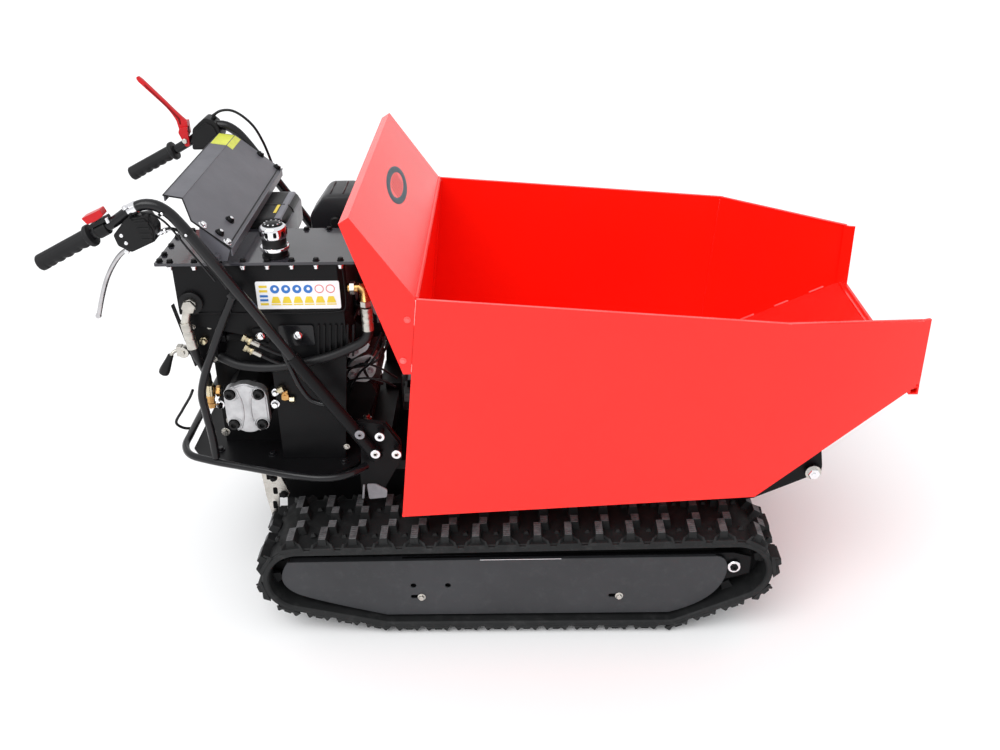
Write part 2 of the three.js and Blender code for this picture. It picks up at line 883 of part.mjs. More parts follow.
function grip(side) {
  const [x0, z0] = GRIP_END;
  const [x1, z1] = GRIP_COLLAR;
  const length = Math.hypot(x1 - x0, z1 - z0);
  const bore = BAR_R + 1.2;
  const profile = [
    [0, -8],
    [GRIP_R - 3, -8],
    [GRIP_R, -4],
    [GRIP_R, length - 10],
    [GRIP_R + 5, length - 8],
    [GRIP_R + 5, length],
    [bore, length],
    [bore, -4],
    [0, -4],
  ];
  return turnedAlong(profile, [x0, side * BAR_Y, z0], [x1 - x0, 0, z1 - z0]);
}

// The clamp on a handlebar that carries its lever, its outline given in x and z.
function leverClamp(points, side) {
  const y = side * BAR_Y;
  return cut(sidePlate(points, y - 20, y + 20), barTube(side, BAR_R + GAP + 0.3));
}

function brakeClamp() {
  const points = [
    [-655, 838],
    [-630, 866],
    [-592, 872],
    [-580, 848],
    [-583, 826],
    [-628, 806],
    [-650, 818],
  ];
  return leverClamp(points, -1);
}

function clutchClamp() {
  const points = [
    [-655, 838],
    [-648, 884],
    [-618, 908],
    [-597, 898],
    [-584, 866],
    [-622, 838],
  ];
  return leverClamp(points, 1);
}

const BRAKE_PIVOT = [-641, 803];

function brakeLever() {
  const [x, z] = BRAKE_PIVOT;
  const boss = rod([x, -BAR_Y - 9, z], [x, -BAR_Y + 9, z], 4.5, 8);
  const shape = new THREE.Shape();
  shape.moveTo(-636, 803);
  shape.quadraticCurveTo(-660, 786, -676, 762);
  shape.quadraticCurveTo(-704, 720, -712, 678);
  shape.lineTo(-714, 671);
  shape.lineTo(-722, 672);
  shape.quadraticCurveTo(-722, 690, -714, 706);
  shape.quadraticCurveTo(-700, 745, -680, 774);
  shape.quadraticCurveTo(-664, 794, -648, 806);
  shape.lineTo(-638, 810);
  return join(sidePlate(shape, -BAR_Y - 4.5, -BAR_Y + 4.5, 5), boss);
}

const CLUTCH_PIVOT = [-668, 858];

function clutchLever() {
  const shape = new THREE.Shape();
  shape.moveTo(-659, 868);
  shape.lineTo(-677, 867);
  shape.lineTo(-682, 899);
  shape.quadraticCurveTo(-690, 920, -707, 938);
  shape.lineTo(-750, 984);
  shape.quadraticCurveTo(-757, 995, -746, 996);
  shape.lineTo(-737, 992);
  shape.lineTo(-695, 946);
  shape.quadraticCurveTo(-672, 918, -657, 900);
  shape.lineTo(-659, 888);
  const tab = [
    [-659, 846],
    [-668, 845],
    [-680, 876],
    [-676, 886],
    [-659, 888],
  ];
  const cheek = sidePlate(tab, BAR_Y - 18, BAR_Y - BAR_R - 1);
  const [x, z] = CLUTCH_PIVOT;
  const boss = rod([x, BAR_Y - 22, z], [x, BAR_Y - 12, z], 6, 8);
  const root = [
    [-659, 868],
    [-677, 867],
    [-681.6, 897],
    [-659, 899],
  ];
  return join(sidePlate(shape, BAR_Y - 11.5, BAR_Y - 1.5, 5), sidePlate(root, BAR_Y - 11.5, BAR_Y + 8), cheek, boss);
}

function stopBracket() {
  const collar = rod([-689, -BAR_Y, 838], [-668, -BAR_Y, 848.6], BAR_R + 4, 12);
  const seat = [
    [-694, 848],
    [-664, 862],
    [-667, 868],
    [-697, 854],
  ];
  const stem = block([-684, -674], [-BAR_Y - 5, -BAR_Y + 5], [846, 857]);
  const body = join(collar, sidePlate(seat, -BAR_Y - 13, -BAR_Y + 13), stem);
  return cut(body, barTube(-1, BAR_R + GAP + 0.3));
}

// The rocker's underside is bent at the middle, so that it tips on its seat.
function stopRocker() {
  const points = [
    [-697.8, 854.7],
    [-682.4, 861.9],
    [-668.2, 871.6],
    [-673, 881],
    [-682, 875],
    [-705, 866],
  ];
  return sidePlate(points, -BAR_Y - 11, -BAR_Y + 11);
}

const CONSOLE = { edge: [-591, 876], bend: [-556, 871], foot: [-463, 794] };
const CONSOLE_SHEET = 2.5;

// The near corner is cut back beside the brake lever's clamp; the far side runs straight down.
function consoleCover() {
  const { edge, bend, foot } = CONSOLE;
  const near = { edge: -176, bend: -180, foot: -236 };
  const far = 240;
  const strip = panel(
    [
      [edge[0], near.edge, edge[1]],
      [bend[0], near.bend, bend[1]],
      [bend[0], far, bend[1]],
      [edge[0], far, edge[1]],
    ],
    CONSOLE_SHEET,
  );
  const cheekX = bend[0] + 28;
  const cheekZ = bend[1] - (28 * (bend[1] - foot[1])) / (foot[0] - bend[0]);
  const face = panel(
    [
      [bend[0], near.bend, bend[1]],
      [cheekX, near.foot, cheekZ],
      [foot[0], near.foot, foot[1]],
      [foot[0], far, foot[1]],
      [bend[0], far, bend[1]],
    ],
    CONSOLE_SHEET,
  );
  const hem = block([foot[0] - CONSOLE_SHEET, foot[0]], [near.foot, far], [foot[1] - 14, foot[1]]);
  const lip = block([edge[0], edge[0] + CONSOLE_SHEET], [near.edge, far], [edge[1] - 12, edge[1]]);
  const ear = [
    [cheekX + 12, cheekZ - 12],
    [foot[0] - 4, foot[1] - 3],
    [foot[0] - 12, 770],
    [-508, 770],
    [-520, 800],
  ];
  const ears = [
    sidePlate(ear, near.foot, near.foot + CONSOLE_SHEET),
    sidePlate(ear, far - CONSOLE_SHEET, far),
  ];
  const stud = (from, side) => rod([-490, from, 780], [-490, side * (BAR_Y - BAR_R - GAP), 780], 5, 8);
  return join(strip, face, hem, lip, ...ears, stud(near.foot + 1, -1), stud(far - 1, 1));
}

function strut(side) {
  const points = [
    [-470, side * (BAR_Y - 14), 706],
    [-490, side * 246, 668],
    [-519, side * 243, 606],
    [-546, side * 241, 545],
    [-560, side * 240, 497],
    [-558, side * 239, 455],
    [-554, side * 238, 400],
    [-553, side * 239, 353 + GAP],
  ];
  return tube(points, STRUT_R, 14, 8);
}

function brakeCable() {
  const y = -BAR_Y;
  return tube(
    [
      [-577, y, 838],
      [-562, y + 2, 842],
      [-549, y + 8, 836],
      [-538, y + 15, 818],
      [-522, y + 16, 792],
      [-506, y + 16, 766],
      [-492, y + 16, 744],
      [-480, y + 18, 720],
    ],
    3,
    14,
    6,
  );
}

function clutchCable() {
  const y = BAR_Y;
  return tube(
    [
      [-606, y, 907],
      [-588, y + 2, 917],
      [-566, y + 3, 918],
      [-546, y + 4, 908],
      [-522, y + 8, 882],
      [-506, y + 13, 845],
      [-494, y + 17, 800],
      [-480, y + 17, 742],
      [-440, y + 17, 676],
      [-399, y + 17, 612],
      [-366, y + 17, 560],
    ],
    3,
    24,
    6,
  );
}

// ---------------------------------------------------------------- skip

function skipShell() {
  const w = SKIP_HALF_WIDTH;
  const v = LIP_HALF_WIDTH;
  const rim = SKIP_RIM;
  const base = SKIP_BASE;
  const at = ([x, z], y) => [x, y, z];
  const side = [rim.rear, rim.fold, base.fold, base.rear];
  const walls = [-1, 1].map((s) => sidePlate(side, s * (w - SHEET), s * w));
  const wings = [
    panel([at(rim.fold, -w), at(base.fold, -w), at(base.front, -v), at(rim.front, -v)], SHEET),
    panel([at(base.front, v), at(base.fold, w), at(rim.fold, w), at(rim.front, v)], SHEET),
  ];
  const back = panel([at(rim.rear, -w), at(rim.rear, w), at(base.rear, w), at(base.rear, -w)], SHEET);
  const floor = panel([at(base.rear, -w), at(base.rear, w), at(base.fold, w), at(base.fold, -w)], SHEET);
  const ramp = panel([at(base.fold, -w), at(base.fold, w), at(base.front, v), at(base.front, -v)], SHEET);
  const [x, z] = base.front;
  const lipTube = cut(
    block([x - 12, x + 6], [-v, v], [z - 18, z]),
    block([x - 9, x + 3], [-v - 1, v + 1], [z - 15, z - 3]),
  );
  return join(...walls, ...wings, back, floor, ramp, lipTube, ...lipStiffeners());
}

// Flat bars welded up the front edges of the wings.
function lipStiffeners() {
  const along = [SKIP_RIM.front[0] - SKIP_RIM.fold[0], SKIP_HALF_WIDTH - LIP_HALF_WIDTH];
  const length = Math.hypot(...along);
  const [ux, uy] = along.map((c) => c / length);
  const width = 24;
  const start = [SKIP_RIM.front[0] - 4, LIP_HALF_WIDTH + 1];
  const end = [start[0] + ux * width, start[1] - uy * width];
  const [top, low] = [SKIP_RIM.front[1] - 1, SKIP_BASE.front[1] - 8];
  return [-1, 1].map((s) => {
    const points = [
      [start[0], s * start[1]],
      [end[0], s * end[1]],
      [end[0] - uy * 6, s * (end[1] - ux * 6)],
      [start[0] - uy * 6, s * (start[1] - ux * 6)],
    ];
    return flatPlate(points, low, top);
  });
}

function spillGuard() {
  const w = SKIP_HALF_WIDTH - 1;
  const [x, z] = GUARD_TOP;
  const foot = [SKIP_RIM.rear[0] - 1, SKIP_RIM.rear[1] + 2];
  const flange = [x - 18, z - 11];
  const board = panel(
    [
      [foot[0], -w, foot[1]],
      [foot[0], w, foot[1]],
      [x, w, z],
      [x, -w, z],
    ],
    SHEET,
  );
  const top = panel(
    [
      [x, -w, z],
      [x, w, z],
      [flange[0], w, flange[1]],
      [flange[0], -w, flange[1]],
    ],
    SHEET,
  );
  const slope = (SKIP_RIM.rear[0] - SKIP_BASE.rear[0]) / (SKIP_RIM.rear[1] - SKIP_BASE.rear[1]);
  const wallX = (height) => SKIP_RIM.rear[0] - (SKIP_RIM.rear[1] - height) * slope - GAP - 0.2;
  const gusset = [
    [x, z],
    [foot[0] - 1, foot[1]],
    [wallX(732), 732],
    [wallX(592), 592],
    [wallX(592) - 14, 592],
    flange,
  ];
  const gussets = [-1, 1].map((s) => sidePlate(gusset, s * (w - SHEET), s * w));
  return join(board, top, ...gussets);
}

// Rails and a cross tube under the skip, with the lugs of its pivot and of the cylinder's rod.
function skipSubframe() {
  const { rear, fold, front } = SKIP_BASE;
  const floorZ = (x) => rear[1] + ((x - rear[0]) * (fold[1] - rear[1])) / (fold[0] - rear[0]) - GAP - 0.6;
  const rampZ = (x) => fold[1] + ((x - fold[0]) * (front[1] - fold[1])) / (front[0] - fold[0]) - GAP - 1.2;
  const rail = [
    [-120, floorZ(-120) - 24],
    [440, 288],
    [560, 300],
    [596, 330],
    [596, rampZ(596)],
    [fold[0], floorZ(fold[0]) - 1],
    [-120, floorZ(-120)],
  ];
  const rails = [-1, 1].map((s) => sidePlate(rail, s * 66, s * 90));
  const crossTube = block([560, 592], [-268, 268], [326, 354]);
  const [px, pz] = TIP_PIVOT;
  const lug = [
    [556, rampZ(556)],
    [556, 330],
    [px - 12, pz - 18],
    [px + 8, pz - 18],
    [px + 19, pz - 6],
    [px + 19, pz + 10],
    [px + 8, rampZ(px + 8)],
  ];
  const lugY = [ARM_Y + 14, ARM_Y + 22];
  const lugs = [-1, 1].map((s) => sidePlate(lug, s * lugY[0], s * lugY[1]));
  const pins = [-1, 1].map((s) =>
    join(
      rod([px, s * (ARM_Y - 16), pz], [px, s * (lugY[1] + 8), pz], 10, 16),
      rod([px, s * (lugY[1] - 1), pz], [px, s * (lugY[1] + 9), pz], 15, 6),
      rod([px, s * (ARM_Y - 20), pz], [px, s * (ARM_Y - 10), pz], 15, 6),
    ),
  );
  const [ex, ez] = CYLINDER_EYE;
  const ear = [
    [ex - 16, ez - 4],
    [ex - 8, ez - 14],
    [ex + 8, ez - 14],
    [596, 330],
    [594, 352],
    [562, 352],
    [ex - 12, ez + 14],
  ];
  const ears = [-1, 1].map((s) =>
    join(sidePlate(ear, s * 22, s * 30), rod([ex, s * 21, ez], [ex, s * 36, ez], 11, 6)),
  );
  return join(...rails, crossTube, ...lugs, ...pins, ...ears);
}

// ---------------------------------------------------------------- tipping cylinder

const CYLINDER_RUN = [CYLINDER_EYE[0] - CYLINDER_FOOT[0], 0, CYLINDER_EYE[1] - CYLINDER_FOOT[1]];
const CYLINDER_LENGTH = Math.hypot(...CYLINDER_RUN);

function alongCylinder(distance) {
  const share = distance / CYLINDER_LENGTH;
  return [CYLINDER_FOOT[0] + CYLINDER_RUN[0] * share, 0, CYLINDER_FOOT[1] + CYLINDER_RUN[2] * share];
}

function cylinderBarrel() {
  const end = CYLINDER_LENGTH - 34;
  const profile = [
    [0, 14],
    [22, 22],
    [26, 30],
    [26, end - 12],
    [29, end - 12],
    [29, end],
    [15, end],
    [15, end - 330],
    [0, end - 330],
  ];
  const [x, z] = CYLINDER_FOOT;
  const eye = rod([x, -18, z], [x, 18, z], 19, 16);
  const bore = rod([x, -31, z], [x, 31, z], 8.8, 12);
  const body = turnedAlong(profile, alongCylinder(0), CYLINDER_RUN, 16);
  return cut(join(body, eye), bore);
}

function cylinderRod() {
  const end = CYLINDER_LENGTH;
  const profile = [
    [0, end - 240],
    [14, end - 240],
    [14, end - 14],
    [0, end - 14],
  ];
  const [x, z] = CYLINDER_EYE;
  const eye = rod([x, -20, z], [x, 20, z], 16, 16);
  return join(turnedAlong(profile, alongCylinder(0), CYLINDER_RUN, 14), eye);
}

// ---------------------------------------------------------------- assembly

for (const [side, word] of [
  [-1, "right"],
  [1, "left"],
]) {
  add(`track_belt_${word}`, trackBelt(side), RUBBER);
  add(`drive_sprocket_${word}`, driveSprocket(side), CAST_IRON);
  const idler = trackWheel(side, IDLER.x, IDLER.z, IDLER.r - 1.4, IDLER_AXLE_R + 0.6, 18);
  add(`front_idler_${word}`, idler, CAST_IRON);
  ROLLER_X.forEach((x, i) => {
    const roller = trackWheel(side, x, ROLLER_Z, ROLLER_R - 0.6, ROLLER_AXLE_R + 0.6, 12);
    add(`track_roller_${word}_${i + 1}`, roller, CAST_IRON);
  });
  add(`track_frame_${word}`, trackFrame(side), BLACK_PAINT);
  add(`track_cover_${word}`, trackCover(side), GREY_PAINT);
  add(`handlebar_${word}`, handlebar(side), GREY_PAINT);
  add(`grip_${word}`, grip(side), GRIP_RUBBER);
  add(`strut_${word}`, strut(side), GREY_PAINT);
}

add("chassis_frame", chassisFrame(), BLACK_PAINT);
add("gearbox", gearbox(), CAST_IRON);
add("rear_guard_loop", guardLoop(), GREY_PAINT);
add("deck_tray", deckTray(), BLACK_PAINT);
add("engine_block", engineBlock(), CAST_IRON);
add("engine_shroud", engineShroud(), BLACK_PLASTIC);
add("starter_grip", starterGrip(), BLACK_PLASTIC);
add("fuel_tank", fuelTank(), BLACK_PAINT);
add("fuel_cap", fuelCap(), BLACK_PLASTIC);
add("air_filter", airFilter(), BLACK_PLASTIC);
add("muffler", muffler(), CAST_IRON);
add("tank_support", tankSupport(), BLACK_PAINT);
add("hydraulic_tank", hydraulicTank(), BLACK_PAINT);
add("tank_lid", tankLid(), GREY_PAINT);
add("filler_cap", fillerCap(), CHROME);
add("pump_body", pumpBody(), CAST_IRON);
add("pump_cover", pumpCover(), CAST_ALUMINIUM);
add("valve_block", valveBlock(), BLACK_PAINT);
add("valve_lever", valveLever(), ZINC);
add("feed_hose", feedHose(), RUBBER);
add("return_hose", returnHose(), RUBBER);
add("pressure_hose", pressureHose(), RUBBER);
add("brake_clamp", brakeClamp(), BLACK_PLASTIC);
add("clutch_clamp", clutchClamp(), BLACK_PLASTIC);
add("brake_lever", brakeLever(), CHROME);
add("clutch_lever", clutchLever(), RED_PLASTIC);
add("stop_bracket", stopBracket(), BLACK_PLASTIC);
add("stop_rocker", stopRocker(), RED_PLASTIC);
add("console_cover", consoleCover(), CONSOLE_PAINT);
add("brake_cable", brakeCable(), RUBBER);
add("clutch_cable", clutchCable(), RUBBER);
add("skip_shell", skipShell(), RED_PAINT);
add("spill_guard", spillGuard(), RED_PAINT);
add("skip_subframe", skipSubframe(), BLACK_PAINT);
add("cylinder_barrel", cylinderBarrel(), BLACK_PAINT);
add("cylinder_rod", cylinderRod(), CHROME);

export default machine;
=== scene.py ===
import math

import bmesh
import bpy
import numpy as np
from mathutils import Matrix, Vector


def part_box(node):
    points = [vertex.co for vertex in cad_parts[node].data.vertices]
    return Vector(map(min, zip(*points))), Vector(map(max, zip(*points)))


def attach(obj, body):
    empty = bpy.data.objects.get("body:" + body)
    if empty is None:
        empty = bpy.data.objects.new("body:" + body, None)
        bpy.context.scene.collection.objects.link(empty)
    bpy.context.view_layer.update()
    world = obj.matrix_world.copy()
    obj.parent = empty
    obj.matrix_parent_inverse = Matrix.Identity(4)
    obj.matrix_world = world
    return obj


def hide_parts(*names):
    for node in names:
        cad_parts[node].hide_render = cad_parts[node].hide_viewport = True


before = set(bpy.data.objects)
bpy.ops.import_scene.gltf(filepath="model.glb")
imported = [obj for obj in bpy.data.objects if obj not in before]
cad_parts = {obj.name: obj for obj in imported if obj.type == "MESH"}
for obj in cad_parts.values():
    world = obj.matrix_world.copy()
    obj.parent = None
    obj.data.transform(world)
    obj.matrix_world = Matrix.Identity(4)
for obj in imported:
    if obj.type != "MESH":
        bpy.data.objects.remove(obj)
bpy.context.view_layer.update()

# The looks of a tracked power wheelbarrow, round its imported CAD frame. Places and sizes given to the
# helpers are in millimetres, in the frame's axes: +X forward, +Y to the machine's left, +Z up.
MM = 0.001
RIGHT, LEFT = -1, 1
UP, OUT_RIGHT = (0, 0, 1), (0, -1, 0)
WORD = {RIGHT: "right", LEFT: "left"}


def box(node):
    low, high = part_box(node)
    return np.array(low) / MM, np.array(high) / MM


def middle(node):
    low, high = box(node)
    return (low + high) / 2


# ------------------------------------------------------------------ materials


def node_material(name):
    made = bpy.data.materials.new(name)
    made.use_nodes = True
    tree = made.node_tree
    shader = tree.nodes["Principled BSDF"]
    place = tree.nodes.new("ShaderNodeTexCoord").outputs["Object"]
    return made, tree, shader, place


def noise(tree, place, scale, detail=4.0, rough=0.6, stretch=None):
    if stretch:
        mapping = tree.nodes.new("ShaderNodeMapping")
        mapping.inputs["Scale"].default_value = stretch
        tree.links.new(place, mapping.inputs["Vector"])
        place = mapping.outputs["Vector"]
    texture = tree.nodes.new("ShaderNodeTexNoise")
    texture.inputs["Scale"].default_value = scale
    texture.inputs["Detail"].default_value = detail
    texture.inputs["Roughness"].default_value = rough
    tree.links.new(place, texture.inputs["Vector"])
    return texture.outputs["Fac"]


def spread(tree, value, low, high, to_low=0.0, to_high=1.0):
    node = tree.nodes.new("ShaderNodeMapRange")
    node.inputs["From Min"].default_value = low
    node.inputs["From Max"].default_value = high
    node.inputs["To Min"].default_value = to_low
    node.inputs["To Max"].default_value = to_high
    tree.links.new(value, node.inputs["Value"])
    return node.outputs["Result"]


def blend_colours(tree, share, first, second):
    mix = tree.nodes.new("ShaderNodeMix")
    mix.data_type = "RGBA"
    tree.links.new(share, mix.inputs["Factor"])
    for socket, colour in ((mix.inputs["A"], first), (mix.inputs["B"], second)):
        if isinstance(colour, tuple):
            socket.default_value = (*colour, 1)
        else:
            tree.links.new(colour, socket)
    return mix.outputs["Result"]


def bump(tree, height, depth_mm, strength=1.0, below=None):
    node = tree.nodes.new("ShaderNodeBump")
    node.inputs["Strength"].default_value = strength
    node.inputs["Distance"].default_value = depth_mm * MM
    tree.links.new(height, node.inputs["Height"])
    if below:
        tree.links.new(below, node.inputs["Normal"])
    return node.outputs["Normal"]


def finish(name, colour, shade, rough, metallic=0.0, coat=0.0, coat_rough=0.05, specular=0.5, patch=6.0,
        grain=900.0, grain_mm=0.02, wave_mm=0.0, dust=None, stretch=None):
    """A surface whose colour drifts between two tones, with uneven roughness, fine grain and dust."""
    made, tree, shader, place = node_material(name)
    drift = spread(tree, noise(tree, place, patch, 5.0), 0.35, 0.65)
    tone = blend_colours(tree, drift, colour, shade)
    if dust:
        specks = spread(tree, noise(tree, place, 38.0, 8.0, 0.75), 0.52, 0.78, 0.0, dust[1])
        tone = blend_colours(tree, specks, tone, dust[0])
    tree.links.new(tone, shader.inputs["Base Color"])
    uneven = noise(tree, place, patch * 4, 6.0, 0.7, stretch)
    tree.links.new(spread(tree, uneven, 0.3, 0.7, *rough), shader.inputs["Roughness"])
    shader.inputs["Metallic"].default_value = metallic
    shader.inputs["Specular IOR Level"].default_value = specular
    shader.inputs["Coat Weight"].default_value = coat
    shader.inputs["Coat Roughness"].default_value = coat_rough
    normal = bump(tree, noise(tree, place, grain, 3.0, 0.6, stretch), grain_mm)
    if wave_mm:
        normal = bump(tree, noise(tree, place, 3.5, 2.0, 0.4), wave_mm, 1.0, normal)
    tree.links.new(normal, shader.inputs["Normal"])
    return made


def tread_rubber():
    """The top of a lug: greyer, worn rubber with fine moulded lines across it."""
    made, tree, shader, place = node_material("tread_rubber")
    worn = spread(tree, noise(tree, place, 60.0, 8.0, 0.7), 0.38, 0.66)
    tone = blend_colours(tree, worn, (0.05, 0.05, 0.053), (0.135, 0.135, 0.14))
    tree.links.new(tone, shader.inputs["Base Color"])
    shader.inputs["Roughness"].default_value = 0.72
    lines = tree.nodes.new("ShaderNodeTexWave")
    lines.wave_type = "BANDS"
    lines.bands_direction = "Y"
    lines.inputs["Scale"].default_value = 46.0
    lines.inputs["Distortion"].default_value = 0.6
    tree.links.new(place, lines.inputs["Vector"])
    grain = bump(tree, noise(tree, place, 700.0, 4.0), 0.15)
    tree.links.new(bump(tree, lines.outputs["Fac"], 0.9, 0.8, grain), shader.inputs["Normal"])
    return made


RED_PAINT = finish("red_paint", (0.97, 0.010, 0.003), (0.93, 0.008, 0.003), (0.20, 0.27), coat=0.15,
    coat_rough=0.08, specular=0.42, patch=3.0, grain=520.0, grain_mm=0.010, wave_mm=0.5)
# A lighter, pinker red: a painted highlight, used on the skip's sheet edges, weld beads and bolt heads.
RED_HIGHLIGHT = finish("red_paint_painted_highlight", (0.95, 0.12, 0.11), (0.92, 0.07, 0.065), (0.22, 0.32), coat=0.3,
    patch=20.0, grain_mm=0.02)
GREY_PAINT = finish("grey_paint", (0.009, 0.009, 0.0105), (0.006, 0.006, 0.007), (0.16, 0.26),
    coat=0.12, coat_rough=0.03, specular=0.26, patch=8.0, grain=1400.0, grain_mm=0.012)
COVER_PAINT = finish("cover_paint", (0.040, 0.041, 0.045), (0.032, 0.033, 0.036), (0.42, 0.52),
    specular=0.3, patch=5.0, grain=1600.0, grain_mm=0.03, dust=((0.10, 0.10, 0.105), 0.25))
CONSOLE_PAINT = finish("console_paint", (0.108, 0.108, 0.125), (0.092, 0.092, 0.107), (0.36, 0.46),
    patch=4.0, grain=1600.0, grain_mm=0.03)
LID_PAINT = finish("lid_paint", (0.040, 0.039, 0.048), (0.024, 0.023, 0.029), (0.14, 0.24), coat=0.3,
    patch=5.0, grain=1500.0, grain_mm=0.02)
BLACK_PAINT = finish("black_paint", (0.005, 0.005, 0.0056), (0.0072, 0.0072, 0.008), (0.3, 0.42),
    specular=0.13, patch=7.0, grain=1300.0, grain_mm=0.02)
BELT_RUBBER = finish("belt_rubber", (0.010, 0.0105, 0.011), (0.015, 0.0155, 0.016), (0.5, 0.68),
    specular=0.22, patch=12.0, grain=420.0, grain_mm=0.12, dust=((0.08, 0.08, 0.08), 0.3))
TREAD_RUBBER = tread_rubber()
GRIP_RUBBER = finish("grip_rubber", (0.009, 0.009, 0.010), (0.013, 0.013, 0.014), (0.48, 0.6),
    specular=0.22, patch=15.0, grain=1000.0, grain_mm=0.08)
HOSE_RUBBER = finish("hose_rubber", (0.006, 0.006, 0.007), (0.010, 0.010, 0.011), (0.36, 0.5),
    specular=0.3, patch=18.0, grain=900.0, grain_mm=0.05)
CABLE_SKIN = finish("cable_skin", (0.004, 0.004, 0.005), (0.007, 0.007, 0.008), (0.25, 0.35),
    specular=0.3, patch=30.0, grain_mm=0.01)
BLACK_PLASTIC = finish("black_plastic", (0.006, 0.006, 0.0065), (0.009, 0.009, 0.0095), (0.36, 0.5),
    specular=0.22, patch=14.0, grain=1100.0, grain_mm=0.05)
SATIN_PLASTIC = finish("satin_plastic", (0.012, 0.012, 0.014), (0.009, 0.009, 0.011), (0.3, 0.4),
    specular=0.35, patch=9.0, grain=1500.0, grain_mm=0.03)
PALE_PLASTIC = finish("pale_plastic", (0.15, 0.15, 0.175), (0.13, 0.13, 0.155), (0.3, 0.4), patch=9.0,
    grain=1500.0, grain_mm=0.03)
RED_PLASTIC = finish("red_plastic", (0.60, 0.008, 0.012), (0.50, 0.006, 0.010), (0.26, 0.36),
    specular=0.3, patch=16.0, grain_mm=0.02)
# Dark red: the badge's own printed stripes, and painted shade in the clutch lever's groove.
DARK_RED = finish("dark_red", (0.22, 0.004, 0.006), (0.17, 0.003, 0.005), (0.35, 0.45), specular=0.2,
    grain_mm=0.02)
ZINC = finish("zinc", (0.62, 0.60, 0.56), (0.5, 0.48, 0.44), (0.2, 0.36), metallic=1.0, patch=40.0,
    grain=700.0, grain_mm=0.02)
CHROME = finish("chrome", (0.86, 0.86, 0.88), (0.78, 0.78, 0.8), (0.05, 0.12), metallic=1.0, patch=30.0,
    grain_mm=0.004)
LEVER_ALLOY = finish("lever_alloy", (0.56, 0.55, 0.56), (0.46, 0.45, 0.46), (0.2, 0.32), metallic=1.0,
    patch=30.0, grain_mm=0.01)
STEEL = finish("steel", (0.60, 0.58, 0.53), (0.48, 0.46, 0.42), (0.26, 0.38), metallic=1.0, patch=50.0,
    grain=500.0, grain_mm=0.02, stretch=(1, 1, 12))
CAST_ALUMINIUM = finish("cast_aluminium", (0.58, 0.58, 0.59), (0.44, 0.44, 0.45), (0.34, 0.5),
    metallic=0.85, patch=26.0, grain=420.0, grain_mm=0.16)
GREY_CASTING = finish("grey_casting", (0.30, 0.30, 0.32), (0.20, 0.20, 0.22), (0.45, 0.6), metallic=0.1,
    patch=26.0, grain=380.0, grain_mm=0.2)
DARK_CASTING = finish("dark_casting", (0.006, 0.006, 0.0065), (0.009, 0.009, 0.0095), (0.45, 0.62),
    specular=0.14, patch=22.0, grain=420.0, grain_mm=0.2)
BRASS = finish("brass", (0.62, 0.36, 0.13), (0.5, 0.28, 0.1), (0.2, 0.34), metallic=1.0, patch=40.0)
PALE_BRASS = finish("pale_brass", (0.66, 0.58, 0.40), (0.52, 0.45, 0.30), (0.2, 0.34), metallic=1.0,
    patch=40.0)
SHADOW_BLACK = finish("shadow_black", (0.002, 0.002, 0.002), (0.003, 0.003, 0.003), (0.6, 0.7),
    specular=0.1)
LABEL_WHITE = finish("label_white", (0.86, 0.87, 0.88), (0.8, 0.81, 0.82), (0.3, 0.4), grain_mm=0.004)
LABEL_BLUE = finish("label_blue", (0.02, 0.16, 0.52), (0.02, 0.14, 0.46), (0.3, 0.4), grain_mm=0.004)
LABEL_YELLOW = finish("label_yellow", (0.78, 0.6, 0.03), (0.7, 0.52, 0.03), (0.3, 0.4), grain_mm=0.004)
LABEL_RED = finish("label_red", (0.7, 0.12, 0.12), (0.62, 0.1, 0.1), (0.3, 0.4), grain_mm=0.004)
STICKER = finish("sticker", (0.72, 0.76, 0.08), (0.62, 0.66, 0.07), (0.3, 0.4), patch=60.0,
    grain_mm=0.004)
BADGE_GREY = finish("badge_grey", (0.040, 0.075, 0.095), (0.055, 0.095, 0.118), (0.4, 0.5),
    specular=0.2, patch=40.0)
BADGE_PINK = finish("badge_pink", (0.86, 0.34, 0.38), (0.80, 0.27, 0.31), (0.3, 0.4), specular=0.3,
    patch=40.0)

# ------------------------------------------------------------------ shapes


def unit(v):
    v = np.array(v, float)
    return v / np.linalg.norm(v)


def spline(points, step=7.0):
    """Points along the centripetal curve that the CAD's tubes follow."""
    p = [np.array(q, float) for q in points]
    p = [2 * p[0] - p[1], *p, 2 * p[-1] - p[-2]]
    made = []
    for a, b, c, d in zip(p, p[1:], p[2:], p[3:]):
        ab, bc, cd = (math.sqrt(np.linalg.norm(v)) for v in (b - a, c - b, d - c))
        leave = ((b - a) / ab - (c - a) / (ab + bc) + (c - b) / bc) * bc
        reach = ((c - b) / bc - (d - b) / (bc + cd) + (d - c) / cd) * bc
        count = max(1, math.ceil(np.linalg.norm(c - b) / step))
        for t in np.arange(count) / count:
            made.append((2 * t**3 - 3 * t**2 + 1) * b + (t**3 - 2 * t**2 + t) * leave
                + (3 * t**2 - 2 * t**3) * c + (t**3 - t**2) * reach)
    made.append(p[-2])
    return made


